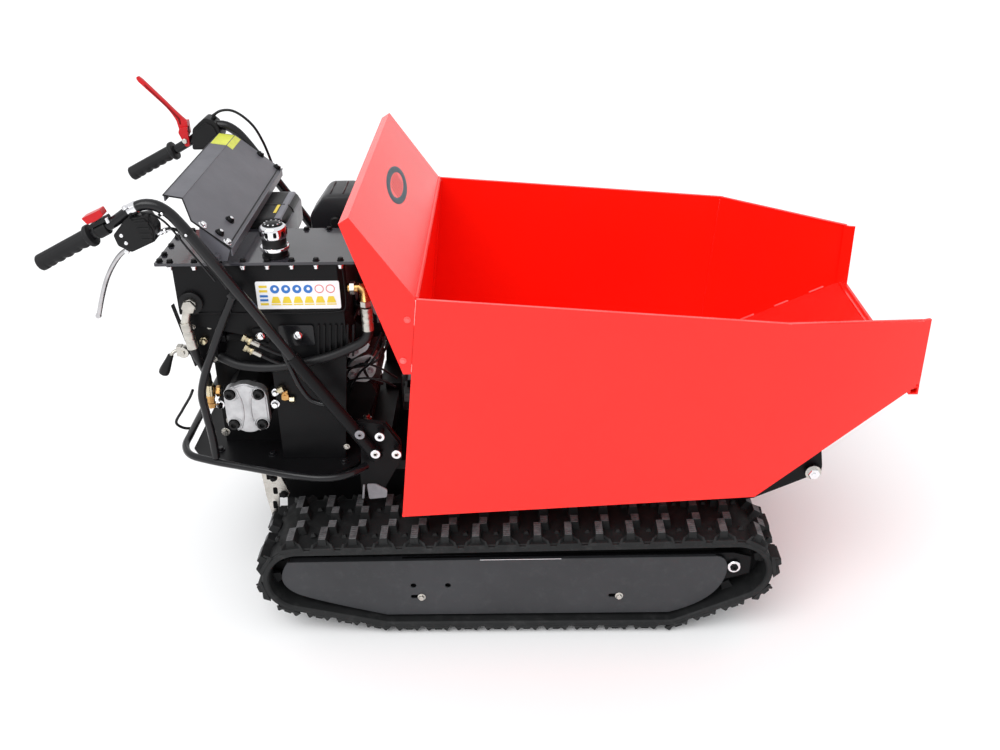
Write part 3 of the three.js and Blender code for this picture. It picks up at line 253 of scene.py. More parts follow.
class Build:
    """Gathers the mesh of one piece, in millimetres."""

    def __init__(self):
        self.verts = []
        self.faces = []
        self.paints = []
        self.materials = []

    def add(self, verts, faces, material):
        if material not in self.materials:
            self.materials.append(material)
        start = len(self.verts)
        self.verts += [tuple(v) for v in verts]
        self.faces += [[start + i for i in face] for face in faces]
        self.paints += [self.materials.index(material)] * len(faces)
        return self

    def rings(self, rings, material, caps=True, closed=False):
        """A skin over rings of equal count; closed joins the last ring to the first."""
        n = len(rings[0])
        faces = []
        spans = len(rings) if closed else len(rings) - 1
        for r in range(spans):
            a, b = r * n, ((r + 1) % len(rings)) * n
            faces += [[a + i, a + (i + 1) % n, b + (i + 1) % n, b + i] for i in range(n)]
        if caps and not closed:
            last = (len(rings) - 1) * n
            faces += [list(range(n))[::-1], [last + i for i in range(n)]]
        return self.add([v for ring in rings for v in ring], faces, material)

    def take(self, mesh, material):
        verts = [tuple(v.co / MM) for v in mesh.vertices]
        self.add(verts, [list(face.vertices) for face in mesh.polygons], material)
        bpy.data.meshes.remove(mesh)
        return self

    def sweep(self, points, radius, material, sides=18, step=7.0, section=None, up=(0, 1, 0),
            smooth=True):
        """A tube along a curve. radius may be a function of the share of its length."""
        path = spline(points, step) if smooth else [np.array(p, float) for p in points]
        lengths = np.concatenate([[0], np.cumsum([np.linalg.norm(b - a) for a,
            b in zip(path, path[1:])])])
        aim = unit(path[1] - path[0])
        side = np.cross(aim, up)
        side = unit(side if np.linalg.norm(side) > 1e-6 else np.cross(aim, (1, 0, 0)))
        rings = []
        for i, point in enumerate(path):
            ahead = unit(path[min(i + 1, len(path) - 1)] - path[max(i - 1, 0)])
            side = unit(side - ahead * side.dot(ahead))
            over = np.cross(side, ahead)
            share = lengths[i] / lengths[-1]
            r = radius(share) if callable(radius) else radius
            outline = section(share) if section else [(r * math.cos(a), r * math.sin(a))
                for a in np.arange(sides) / sides * 2 * math.pi]
            rings.append([point + side * a + over * b for a, b in outline])
        return self.rings(rings, material)

    def lathe(self, profile, origin, direction, material, sides=28, turn=0.0):
        """A body turned about a line: profile points are radius and distance along it."""
        along = unit(direction)
        side = np.cross(along, (0, 0, 1) if abs(along[2]) < 0.9 else (1, 0, 0))
        side = unit(side)
        over = np.cross(along, side)
        origin = np.array(origin, float)
        rings = []
        for r, h in profile:
            rings.append([origin + along * h + (side * math.cos(a + turn) + over * math.sin(a + turn))
                * max(r, 0.01) for a in np.arange(sides) / sides * 2 * math.pi])
        return self.rings(rings, material)

    def rod(self, start, end, radius, material, sides=16, chamfer=0.6):
        start, end = np.array(start, float), np.array(end, float)
        length = np.linalg.norm(end - start)
        c = min(chamfer, radius / 3, length / 3)
        profile = [(radius - c, 0), (radius, c), (radius, length - c), (radius - c, length)]
        return self.lathe(profile, start, end - start, material, sides)

    def prism(self, outline, low, high, material, plane="xz"):
        """An outline in the plane xz or xy, given thickness along the axis left over."""
        flat = plane == "xy"
        return self.rings([[(a, b, h) if flat else (a, h, b) for a, b in outline] for h in (low, high)],
            material)

    def block(self, x, y, z, material):
        return self.prism([(x[0], y[0]), (x[1], y[0]), (x[1], y[1]), (x[0], y[1])], *z, material, "xy")

    def bolt(self, place, direction, size, material, height=None, washer=True):
        """A hexagon head, size across its corners, standing on a washer."""
        r = size / 2
        height = height or r * 0.8
        base = 0
        if washer:
            base = 1.6
            self.lathe([(r * 0.5, 0), (r * 1.35, 0), (r * 1.35, 1.2), (r * 1.25, base),
                (r * 0.5, base)], place, direction, material, 24)
        profile = [(r * 0.6, base), (r, base), (r, base + height * 0.8), (r * 0.88, base + height),
            (0, base + height)]
        return self.lathe(profile, place, direction, material, 6, turn=0.3)

    def done(self, name, bevel=0.0, angle=35.0, replaces=(), body="chassis"):
        """Makes the piece, rides it on its body and hides the CAD nodes it stands for."""
        mesh = bpy.data.meshes.new(name)
        mesh.from_pydata([tuple(float(c) * MM for c in v) for v in self.verts], [], self.faces)
        for material in self.materials:
            mesh.materials.append(material)
        mesh.polygons.foreach_set("material_index", self.paints)
        tidy = bmesh.new()
        tidy.from_mesh(mesh)
        bmesh.ops.recalc_face_normals(tidy, faces=tidy.faces)
        tidy.to_mesh(mesh)
        tidy.free()
        mesh.update()
        mesh.polygons.foreach_set("use_smooth", [True] * len(mesh.polygons))
        mesh.set_sharp_from_angle(angle=math.radians(angle))
        piece = bpy.data.objects.new(name, mesh)
        bpy.context.scene.collection.objects.link(piece)
        if bevel:
            soften(piece, bevel, angle)
        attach(piece, body)
        if replaces:
            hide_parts(*replaces)


def soften(piece, bevel, angle=35.0):
    modifier = piece.modifiers.new("soft_edges", "BEVEL")
    modifier.width = bevel * MM
    modifier.segments = 3
    modifier.limit_method = "ANGLE"
    modifier.angle_limit = math.radians(angle)
    modifier.harden_normals = True
    modifier.miter_outer = "MITER_ARC"


def plate(outline, holes, y0, y1, edge=0.6):
    """A sheet in the xz plane with holes through it: a filled flat curve, turned into a mesh."""
    curve = bpy.data.curves.new("sheet", "CURVE")
    curve.dimensions = "2D"
    curve.fill_mode = "BOTH"
    curve.extrude = (abs(y1 - y0) / 2 - edge) * MM
    curve.bevel_depth = edge * MM
    curve.bevel_resolution = 2
    curve.offset = -edge * MM
    for loop in [outline, *holes]:
        line = curve.splines.new("POLY")
        line.points.add(len(loop) - 1)
        for point, (x, z) in zip(line.points, loop):
            point.co = (x * MM, z * MM, 0, 1)
        line.use_cyclic_u = True
    holder = bpy.data.objects.new("sheet", curve)
    bpy.context.scene.collection.objects.link(holder)
    graph = bpy.context.evaluated_depsgraph_get()
    mesh = bpy.data.meshes.new_from_object(holder.evaluated_get(graph))
    bpy.data.objects.remove(holder)
    upright = Matrix.Translation((0, (y0 + y1) / 2 * MM, 0)) @ Matrix.Rotation(math.pi / 2, 4, "X")
    mesh.transform(upright)
    return mesh


def circle(x, z, r, sides=20):
    return [(x + r * math.cos(a), z + r * math.sin(a)) for a in np.arange(sides) / sides * 2 * math.pi]


def slot_hole(x0, x1, z, r, sides=8):
    ends = []
    for x, start in ((x1, -math.pi / 2), (x0, math.pi / 2)):
        ends += [(x + r * math.cos(start + math.pi * i / sides), z + r * math.sin(start + math.pi * i
            / sides)) for i in range(sides + 1)]
    return ends


def quad(start, bend, end, count=10):
    """Points of a quadratic curve, without its start."""
    a, b, c = (np.array(p, float) for p in (start, bend, end))
    shares = (np.arange(count) + 1) / count
    return [tuple((1 - t) ** 2 * a + 2 * t * (1 - t) * b + t**2 * c) for t in shares]


def round_corners(points, radius, count=5):
    """The outline with each corner rounded."""
    made = []
    for i, point in enumerate(points):
        a, b, c = (np.array(p, float) for p in (points[i - 1], point, points[(i + 1) % len(points)]))
        back, ahead = unit(a - b), unit(c - b)
        reach = min(radius, np.linalg.norm(a - b) / 2.2, np.linalg.norm(c - b) / 2.2)
        start, end = b + back * reach, b + ahead * reach
        made.append(tuple(start))
        made += quad(start, b, end, count)
    return made


def finish_node(name, material, bevel=0.0, angle=30.0):
    """Gives a CAD node its material and softens its edges; its own vertices stay as they are."""
    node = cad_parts[name]
    mesh = node.data
    mesh.materials.clear()
    mesh.materials.append(material)
    mesh.polygons.foreach_set("material_index", [0] * len(mesh.polygons))
    mesh.polygons.foreach_set("use_smooth", [True] * len(mesh.polygons))
    if "custom_normal" in mesh.attributes:
        mesh.attributes.remove(mesh.attributes["custom_normal"])
    weld = node.modifiers.new("weld", "WELD")
    weld.merge_threshold = 0.00001
    flat = node.modifiers.new("flat", "DECIMATE")
    flat.decimate_type = "DISSOLVE"
    flat.angle_limit = math.radians(0.6)
    if bevel:
        soften(node, bevel, angle)
    return node

# ------------------------------------------------------------------ camera and studio


def make_camera():
    data = bpy.data.cameras.new("camera")
    data.sensor_width = 36.0
    data.lens = 38.44
    data.clip_end = 200.0
    holder = bpy.data.objects.new("camera", data)
    pitch, yaw, roll = math.radians(28.03), math.radians(0.99), math.radians(1.03)
    ahead = Vector((-math.sin(yaw) * math.cos(pitch), math.cos(yaw) * math.cos(pitch),
        -math.sin(pitch)))
    right = Vector((math.cos(yaw), math.sin(yaw), 0))
    up = right.cross(ahead)
    tilted_right = right * math.cos(roll) - up * math.sin(roll)
    tilted_up = right * math.sin(roll) + up * math.cos(roll)
    turn = Matrix((tilted_right, tilted_up, -ahead)).transposed().to_4x4()
    holder.matrix_world = Matrix.Translation((0.045, -2.0303, 1.4869)) @ turn
    bpy.context.scene.collection.objects.link(holder)
    bpy.context.scene.camera = holder


def area_light(name, place, target, size, watts):
    data = bpy.data.lights.new(name, "AREA")
    data.shape = "RECTANGLE"
    data.size, data.size_y = size
    data.energy = watts
    holder = bpy.data.objects.new(name, data)
    aim = Vector(target) - Vector(place)
    holder.rotation_euler = aim.to_track_quat("-Z", "Y").to_euler()
    holder.location = place
    bpy.context.scene.collection.objects.link(holder)


def make_studio():
    scene = bpy.context.scene
    scene.view_settings.view_transform = "Standard"
    world = bpy.data.worlds.new("studio")
    world.use_nodes = True
    sky = world.node_tree.nodes["Background"]
    sky.inputs["Color"].default_value = (0.985, 0.99, 1.0, 1)
    sky.inputs["Strength"].default_value = 0.95
    scene.world = world
    sun = bpy.data.lights.new("key", "SUN")
    sun.energy = 1.15
    sun.angle = math.radians(50)
    key = bpy.data.objects.new("key", sun)
    key.rotation_euler = (math.radians(38), 0, math.radians(-24))
    scene.collection.objects.link(key)
    area_light("soft_box", (-1.6, -1.9, 2.6), (0, 0, 0.5), (1.6, 1.6), 16)
    mesh = bpy.data.meshes.new("floor")
    half = 25.0
    mesh.from_pydata([(-half, -half, 0), (half, -half, 0), (half, half, 0), (-half, half, 0)], [],
        [(0, 1, 2, 3)])
    floor = bpy.data.objects.new("floor", mesh)
    scene.collection.objects.link(floor)
    mesh.materials.append(finish("studio_floor", (0.955, 0.957, 0.96), (0.945, 0.947, 0.95), (0.5, 0.6),
        specular=0.3, patch=1.2, grain=200.0, grain_mm=0.02))


# ------------------------------------------------------------------ tracks

SPROCKET_R, IDLER_R, ROLLER_R = 63, 60, 35
BELT_SKIN, LUG_TOP = 7, 25  # outward from the belt's middle line
LUG_PITCH, LINK_PHASE = 60, 0.15
GROUND = 0.25


def belt_arcs(word):
    wheels = []
    for node, r in (("drive_sprocket_", SPROCKET_R), ("track_roller_%s_1", ROLLER_R),
            ("track_roller_%s_4", ROLLER_R), ("front_idler_", IDLER_R)):
        x, _, z = middle(node % word if "%" in node else node + word)
        wheels.append((x, z, r))
    leaves = []
    for i, (x, z, r) in enumerate(wheels):
        nx, nz, nr = wheels[(i + 1) % 4]
        apart = math.hypot(nx - x, nz - z)
        leave = math.atan2(nz - z, nx - x) - math.acos((r - nr) / apart)
        leaves.append((leave, math.sqrt(apart**2 - (r - nr) ** 2)))
    arcs = []
    for i, (x, z, r) in enumerate(wheels):
        arrive = leaves[i - 1][0]
        arcs.append((x, z, r, arrive, (leaves[i][0] - arrive + 4 * math.pi) % (2 * math.pi),
            leaves[i][1]))
    return arcs


def link_places(arcs):
    length = sum(sweep * (r + BELT_SKIN) + straight for _, _, r, _, sweep, straight in arcs)
    count = round(length / LUG_PITCH)
    places = []
    for i in range(count):
        rest = (i + LINK_PHASE) * length / count
        for x, z, r, arrive, sweep, straight in arcs:
            reach = r + BELT_SKIN
            if rest <= sweep * reach + straight:
                angle = arrive + min(rest, sweep * reach) / reach
                ahead = max(0.0, rest - sweep * reach)
                places.append((x + reach * math.cos(angle) - ahead * math.sin(angle),
                    z + reach * math.sin(angle) + ahead * math.cos(angle), angle))
                break
            rest -= sweep * reach + straight
    return places


def belt_block(made, link, y, low, w0, top, w1):
    """A tapered block on the belt, between a low and a top outline along it and across it."""
    x, z, angle = link

    def at(u, v, w):
        height = z + w * math.sin(angle) - u * math.cos(angle)
        return (x + w * math.cos(angle) + u * math.sin(angle), y + v, max(height, GROUND))

    n = len(low)
    verts = [at(u, v, w0) for u, v in low] + [at(u, v, w1) for u, v in top]
    sides = [[i, (i + 1) % n, n + (i + 1) % n, n + i] for i in range(n)]
    start = len(made.verts)
    made.add(verts, [*sides, list(range(n))[::-1]], BELT_RUBBER)
    made.add([], [], TREAD_RUBBER)
    made.faces.append([start + n + i for i in range(n)])
    made.paints.append(made.materials.index(TREAD_RUBBER if w1 > 20 else BELT_RUBBER))


def rect(u0, u1, v0, v1, inset=0.0):
    return [(u0 + inset, v0 + inset), (u1 - inset, v0 + inset), (u1 - inset, v1 - inset),
        (u0 + inset, v1 - inset)]


def track_belt(side):
    word = WORD[side]
    arcs = belt_arcs(word)
    y = middle(f"front_idler_{word}")[1]
    made = Build()
    rim = [(90, -4), (90, 2.5), (88.6, 5.2), (86.5, 6.6), (85, 5.2), (82, 5.0), (80, 7)]
    section = [*rim, *[(-v, w) for v, w in reversed(rim)], (-86, -7), (86, -7)]
    rings = []
    for x, z, r, arrive, sweep, _ in arcs:
        steps = max(2, math.ceil(sweep / math.radians(5)))
        for i in range(steps + 1):
            a = arrive + sweep * i / steps
            reach = r + BELT_SKIN
            rings.append([(x + (reach + w) * math.cos(a), y + v, z + (reach + w) * math.sin(a)) for v,
                w in section])
    made.rings(rings, BELT_RUBBER, closed=True)
    links = link_places(arcs)
    for i, link in enumerate(links):
        for s in (-1, 1):
            def strip(u0, u1, v0, v1, inset=0.0, s=s):
                return [(u, s * v) for u, v in rect(u0, u1, v0, v1, inset)]
            belt_block(made, link, y, strip(-11, 9.5, 31, 80), BELT_SKIN - 1, strip(-8, 6.5, 34, 76),
                LUG_TOP)
            belt_block(made, link, y, strip(2, 24, 9, 37), BELT_SKIN - 1, strip(5, 20.5, 12, 34.5),
                LUG_TOP)
            foot = [(-27, s * 90), (-14, s * 74), (13, s * 74), (26, s * 90)]
            belt_block(made, link, y, foot, BELT_SKIN - 3, [(-20, s * 88), (-10, s * 76), (9, s * 76),
                (19, s * 88)], BELT_SKIN + 4)
            for u in (-1, 1):
                low = [(u * 26, s * 89.6), (u * 19, s * 89.6), (u * 3, s * 70), (u * 10, s * 70)]
                top = [(u * 20, s * 85), (u * 16.5, s * 85), (u * 4, s * 71), (u * 7.5, s * 71)]
                belt_block(made, link, y, low[::u], BELT_SKIN - 3, top[::u], LUG_TOP - 6)
            belt_block(made, link, y, strip(32, 44, 38, 50), BELT_SKIN - 1, strip(35, 41, 41, 47),
                BELT_SKIN + 5)
            if i % 2 == 0:
                belt_block(made, link, y, strip(-13, 13, 40, 52), 3 - BELT_SKIN, strip(-8, 8, 42, 50),
                    -23)
    made.done(f"belt_{word}", bevel=1.1, angle=32, replaces=[f"track_belt_{word}"])


def track_cover(side):
    word = WORD[side]
    y = abs(middle(f"track_frame_{word}")[1]) + 71
    outline = [(-222, 38), (348, 40), *quad((348, 40), (448, 70), (458, 140)),
        *quad((458, 140), (461, 178), (436, 180), 6), (-412, 172), *quad((-412, 172), (-448, 120),
        (-398, 92)), *quad((-398, 92), (-360, 74), (-222, 38))[:-1]]
    holes = [circle(-165, 112, 5.8), circle(-96, 112, 5.8), slot_hole(-167, -150, 84, 4.6),
        slot_hole(230, 247, 84, 4.6)]
    made = Build()
    sheet = plate(outline, holes, side * (y - 2), side * (y + 2), 0.9)
    made.take(sheet, COVER_PAINT)
    made.prism([(-408, 168.2), (434, 176), (434, 179), (-408, 171.2)], side * (y - 15),
        side * (y - 1.5), COVER_PAINT)
    # A thin chrome strip along part of the top edge: a painted highlight line for the light caught by
    # the sheet's edge.
    made.prism([(-30, 175.0), (130, 176.5), (130, 177.7), (-30, 176.2)], side * (y + 0.6),
        side * (y + 2.3), CHROME)
    made.prism([(-330, 150), (436, 158), (436, 196), (-330, 189)], side * (y - 20), side * (y - 17),
        SHADOW_BLACK)
    for x in (-150, 247):
        made.bolt((x, side * (y + 2.2), 84), (0, side, 0), 12, ZINC, height=4.5)
        made.rod((x, side * (y - 6.5), 84), (x, side * (y - 2.2), 84), 8, BLACK_PAINT)
    made.done(f"cover_{word}", replaces=[f"track_cover_{word}"])


def track_running_gear(side):
    word = WORD[side]
    for name in [f"drive_sprocket_{word}", f"front_idler_{word}", *[f"track_roller_{word}_{i}"
            for i in (1, 2, 3, 4)]]:
        finish_node(name, DARK_CASTING, 1.2)
    finish_node(f"track_frame_{word}", BLACK_PAINT, 1.0)
    x, y, z = middle(f"front_idler_{word}")
    outer = abs(box(f"track_frame_{word}")[0 if side < 0 else 1][1])
    made = Build()
    for s, reach in ((1, outer), (-1, 2 * abs(y) - outer)):
        face = side * reach
        out = side * s
        made.lathe([(6, -2.5), (13, -2.5), (13.5, -1), (13.5, 1), (12, 2.2), (8.5, 2.2), (8.5, 0.6),
            (6, 0.6)], (x, face, z), (0, out, 0), CHROME)
        made.lathe([(4, -2), (8.2, -2), (8.2, 4.2), (7, 5.2), (3.2, 5.2), (3.2, 2.5), (0, 2.5)],
            (x, face, z), (0, out, 0), BLACK_PAINT, 6)
    made.done(f"idler_nuts_{word}")
    for name, r in ([(f"front_idler_{word}", 42)] + [(f"track_roller_{word}_{i}", 22)
            for i in (1, 2, 3, 4)]):
        cx, _, cz = middle(name)
        low, high = box(name)
        for face, out in ((low[1], -1), (high[1], 1)):
            body = name.replace("front_idler_", "idler_").replace("track_roller_", "roller_")
            ring = Build()
            ring.lathe([(r - 3, -0.5), (r, -0.5), (r, 1.6), (r - 1, 2.4), (r - 6, 2.4), (r - 7, -0.5)],
                (cx, face, cz), (0, out, 0), DARK_CASTING)
            ring.done(f"{body}_rim_{'in' if out * side < 0 else 'out'}", body=body)


# ------------------------------------------------------------------ handlebars

BAR_Y, BAR_R, GRIP_R = 262, 10, 15.5
BAR_LINE = [(-797, 783), (-697, 834), (-655, 857), (-622, 878), (-600, 887), (-578, 885), (-558, 872),
    (-540, 850), (-520, 820), (-327, 516), (-270, 429), (-228, 364)]
BAR_AIM = unit((99, 0, 50))


def handlebar(side):
    word = WORD[side]
    y = side * BAR_Y
    made = Build()
    made.sweep([(x, y, z) for x, z in BAR_LINE], BAR_R, GREY_PAINT, 24, 9)
    made.sweep([(-372, y, 587), *[(x, y, z) for x, z in BAR_LINE[-3:]]], BAR_R + 2.5, BLACK_PAINT, 24,
        9)
    tab = round_corners([(-276, 424), (-262, 440), (-212, 434), (-184, 388), (-184, 360), (-222, 352),
        (-240, 366)], 9)
    made.prism(tab, side * 246.6, side * 252, BLACK_PAINT)
    made.sweep([(-398, side * 252, 622), (-383, side * 247, 562), (-366, side * 246, 512),
        (-349, side * 247, 487), (-322, side * 252, 480), (-308, side * 256, 484)], 5, GREY_PAINT, 14)
    for x, z, ring, nut in ((-257, 425, GREY_CASTING, GREY_CASTING), (-219, 420, CHROME, GREY_CASTING),
            (-230, 381, CHROME, ZINC), (-189, 380, CHROME, ZINC)):
        made.lathe([(0, 0), (7.6, 0), (7.6, 21), (0, 21)], (x, side * 252.2, z), (0, side, 0),
            BLACK_PAINT, 20)
        for profile, material, sides in (([(5, 0), (11, 0), (11, 1.6), (9.6, 2.0), (5, 2.0)],
                BLACK_PAINT, 24), ([(8.5, 2), (9.6, 2), (9.6, 3.0), (9.2, 3.6), (8.5, 3.6)], ring, 28),
                ([(0, 2), (4.6, 2), (4.6, 4.6), (4.1, 5.2), (3.1, 5.2), (3.0, 3.2), (0, 3.2)], nut, 6),
                ([(0, 3.2), (2.7, 3.2), (2.7, 4.4), (0, 4.4)], SHADOW_BLACK, 12)):
            made.lathe(profile, (x, side * 273, z), (0, side, 0), material, sides)
    made.bolt((-289, side * 249, 383), (0, side, 0), 9, ZINC)
    made.done(f"bar_{word}", bevel=0.8, angle=40, replaces=[f"handlebar_{word}"])


def grip(side):
    word = WORD[side]
    y = side * BAR_Y
    start = np.array((-796, y, 784.0))
    length = 110.9
    over = np.cross(BAR_AIM, (0, 1, 0))
    over = over if over[2] > 0 else -over
    rings = []
    stations = [(-8, 0.70), (-7.6, 0.88), (-6.2, 0.97), (-4, 1.0), *[(t, 1.0)
        for t in np.arange(-2, 98, 1.6)], (99, 1.02), (101.5, 1.26), (103, 1.32), (108, 1.32),
        (109.8, 1.28), (length, 1.0)]
    for t, share in stations:
        ring = []
        for k in range(48):
            a = k / 48 * 2 * math.pi
            below = max(0.0, -math.cos(a)) ** 1.3
            hollow = 0.0
            if 6 < t < 98:
                hollow = below * 2.6 * (1 - abs(math.sin(math.pi * (t - 6) / 18.4)))
                hollow += 0.45 * (1 - below) * max(0.0, math.cos(k / 48 * 2 * math.pi * 16))
            r = GRIP_R * share - hollow
            ring.append(start + BAR_AIM * t + over * (r * math.cos(a)) + np.array((0, r * math.sin(a),
                0)))
        rings.append(ring)
    made = Build()
    made.rings(rings, GRIP_RUBBER)
    made.done(f"grip_cover_{word}", angle=50, replaces=[f"grip_{word}"])


def strut(side):
    word = WORD[side]
    points = [(-470, 248, 706), (-490, 246, 668), (-519, 243, 606), (-546, 241, 545), (-560, 240, 497),
        (-558, 239, 455), (-554, 238, 400), (-553, 239, 353.4)]
    made = Build()
    made.sweep([(x, side * y, z) for x, y, z in points], 8, GREY_PAINT, 20, 8)
    made.sweep([(-466, side * 246, 700), (-476, side * 244, 712)], 10, GREY_PAINT, 14, smooth=False)
    made.done(f"brace_{word}", bevel=0.6, angle=40, replaces=[f"strut_{word}"])


def band(made, share_from, share_to, radius, material, side, chamfer=0.8):
    """A ring round the straight part of the bar, between two distances from the grip's outer end."""
    start = np.array((-796, side * BAR_Y, 784.0)) + BAR_AIM * share_from
    long = share_to - share_from
    made.lathe([(BAR_R + 0.1, 0), (radius - chamfer, 0), (radius, chamfer), (radius, long - chamfer),
        (radius - chamfer, long), (BAR_R + 0.1, long)], start, BAR_AIM, material)


def brake_side():
    made = Build()
    y = -BAR_Y
    shell = round_corners([(-655, 838), (-630, 866), (-592, 872), (-580, 848), (-583, 826), (-628, 806),
        (-650, 818)], 3.5)
    made.prism(shell, y - 17.5, y + 17.5, BLACK_PLASTIC)
    inner = round_corners([(-651, 838), (-628, 863), (-595, 868), (-584, 847), (-586, 828), (-627, 810),
        (-646, 820)], 3)
    made.prism(inner, y - 19.8, y + 19.8, BLACK_PLASTIC)
    for i in range(4):
        a, b = np.array((-612 + i * 2.0, 862 - i * 10.0)), np.array((-589 + i * 1.0, 863 - i * 10.5))
        rib = [tuple(a), tuple(b), tuple(b - (0, 4.2)), tuple(a - (0, 4.2))]
        made.prism(rib, y - 21.4, y - 18.5, BLACK_PLASTIC)
    for x, z in ((-640, 838), (-634, 824)):
        made.lathe([(0, 0), (3.6, 0), (3.6, 1.2), (2.8, 1.9), (0, 2.1)], (x, y - 19.4, z), OUT_RIGHT,
            CHROME, 16)
    made.prism([(-634, 860), (-622, 872), (-614, 862), (-626, 850)], y - 20, y + 20, BLACK_PLASTIC)
    made.done("brake_housing", bevel=0.9, angle=40, replaces=["brake_clamp"])

    strap = Build()
    start = np.array((-622, y, 878.0))
    aim = unit((-22, 0, -11))
    strap.lathe([(BAR_R + 0.3, -9), (BAR_R + 1.8, -8), (BAR_R + 1.8, 8), (BAR_R + 0.3, 9)],
        start - aim * 4, aim, CHROME)
    strap.bolt((-628, y - 10, 884), (-0.4, -0.2, 0.9), 8, CHROME, height=4)
    strap.lathe([(2, 0), (4.4, 0), (4.4, 4), (5.6, 4.6), (5.6, 8.6), (4.2, 9.2), (4.2, 12.4), (5.4, 13),
        (5.4, 16), (3.6, 17), (3.4, 24), (2, 24.6)], (-583, y, 834.5), (22, 3, 7), CHROME, 12)
    strap.done("brake_strap", angle=35)

    lever = Build()
    spine = [(-640, 806), (-655, 796), (-672, 776), (-688, 750), (-703, 716), (-714, 686), (-718, 675)]

    def flat_oval(share):
        swell = 4.4 + 2.6 * math.sin(math.pi * share) ** 2
        return [(4.5 * math.cos(a), swell * math.sin(a)) for a in np.arange(18) / 18 * 2 * math.pi]

    lever.sweep([(x, y, z) for x, z in spine], 4.2, LEVER_ALLOY, 18, 5, section=flat_oval)
    lever.lathe([(0, -4.4), (4.6, -4), (5.6, 0), (4.6, 4), (0, 4.4)], (-717.6, y, 677), (0, 1, 0),
        LEVER_ALLOY, 16)
    lever.rod((-641, y - 8.8, 803), (-641, y + 8.8, 803), 4.4, CHROME)
    lever.done("brake_blade", angle=60, replaces=["brake_lever"], body="brake_lever")


def stop_switch():
    made = Build()
    y = -BAR_Y
    outer = [(-697, 854), (-694, 848), (-664, 862), (-667, 868)]
    made.prism(outer, y - 13, y + 13, BLACK_PLASTIC)
    made.prism([(-685, 852), (-673, 857), (-670, 848), (-682, 843)], y - 7, y + 7, BLACK_PLASTIC)
    band(made, 120.5, 143.5, BAR_R + 3.6, BLACK_PLASTIC, RIGHT, 1.4)
    made.lathe([(4, 0), (4, 9), (2, 10), (0, 10)], (-661.8, y - 9, 858), (-0.4, 0, 0.9), CHROME, 14)
    made.done("stop_base", bevel=0.8, replaces=["stop_bracket"])
    rocker = Build()
    outline = round_corners([(-699.5, 855.5), (-682.4, 862.1), (-668.4, 871.4), (-673, 882.6),
        (-683, 877.6), (-708, 866.8)], 2.2, 3)
    rocker.prism(outline, y - 10.8, y + 10.8, RED_PLASTIC)
    rocker.done("stop_button", bevel=1.2, angle=25, replaces=["stop_rocker"],
        body="stop_rocker")


def clutch_side():
    made = Build()
    y = BAR_Y
    shell = round_corners([(-655, 838), (-648, 884), (-618, 908), (-597, 898), (-584, 866),
        (-622, 838)], 6)
    made.prism(shell, y - 17, y + 19.6, BLACK_PLASTIC)
    made.prism(round_corners([(-646, 845), (-640, 880), (-618, 898), (-602, 890), (-594, 868),
        (-624, 845)], 5), y - 19.8, y - 16, BLACK_PLASTIC)
    for x, z in ((-614, 872), (-620, 846), (-603, 878)):
        made.lathe([(0, 0), (4, 0), (4, 1.4), (3, 2.3), (0, 2.6)], (x, y - 17.2, z), OUT_RIGHT, CHROME,
            16)
    made.lathe([(3, 0), (4.6, 0), (4.6, 9), (3, 10)], (-606, y, 900), (6, 0, 5), BLACK_PAINT, 14)
    made.done("clutch_housing", bevel=1.0, angle=40, replaces=["clutch_clamp"])

    lever = Build()
    blade = [(-659, 868), (-677, 867), (-682, 899), *quad((-682, 899), (-690, 920), (-707, 938), 8),
        (-750, 984), *quad((-750, 984), (-757, 995), (-748, 995), 5), (-741, 989), (-699, 942),
        *quad((-699, 942), (-677, 915), (-660, 899), 8), (-659, 888)]
    lever.prism(blade, y - 10.4, y - 2.4, RED_PLASTIC)
    # A dark red strip along the blade's outer face: painted shade where the blade's groove falls in
    # shadow.
    groove_shade = [(-672, 892), (-674, 906), (-694, 930), (-737, 979), (-739, 977), (-697, 928), (-678, 904),
        (-676, 892)]
    lever.prism(groove_shade, y - 11.2, y - 10, DARK_RED)
    lever.prism([(-659, 870), (-676, 869), (-681, 897), (-659, 899)], y - 11.2, y + 7.8, RED_PLASTIC)
    cheek = [(-659, 846), (-668, 845), (-680, 876), (-676, 886), (-659, 888)]
    lever.prism(round_corners(cheek, 3, 3), y - 17.8, y - 11.2, RED_PLASTIC)
    lever.lathe([(0, 0), (5.8, 0), (5.8, 8.4), (4.8, 9.4), (0, 9.4)], (-668, y - 12.4, 858), OUT_RIGHT,
        ZINC, 20)
    lever.done("clutch_blade", bevel=2.4, angle=40, replaces=["clutch_lever"],
        body="clutch_lever")


# ------------------------------------------------------------------ hoses and cables


def brake_cable():
    y = -BAR_Y
    route = [(-577, y, 838), (-562, y + 2, 842), (-549, y + 8, 836), (-538, y + 15, 818),
        (-522, y + 16, 792), (-506, y + 16, 766), (-492, y + 16, 744), (-480, y + 18, 720)]
    made = Build()
    made.sweep(route, 2.9, CABLE_SKIN, 12, 6)
    made.done("brake_wire", angle=50, replaces=["brake_cable"])
    wire = Build()
    under_bar = [(-605, 872), (-588, 870), (-569, 857), (-553, 836), (-536, 808), (-516, 777),
        (-494, 742)]
    wire.sweep([(x, y, z) for x, z in under_bar], 1.9, CABLE_SKIN, 10, 6)
    for x, z, reach in ((-566, 870, 11), (-530, 830, 11)):
        wire.lathe([(BAR_R + 0.2, -3), (BAR_R + 1.4, -2.6), (BAR_R + 1.4, 2.6), (BAR_R + 0.2, 3)],
            (x, y, z + 4), (18, 0, -24), BLACK_PLASTIC, 24)
        wire.lathe([(0, 0), (2.6, 0), (2.6, 1.2), (1.6, 2), (0, 2.2)], (x, y - reach, z + 4), OUT_RIGHT,
            CHROME, 14)
    wire.done("stop_wire", angle=40)


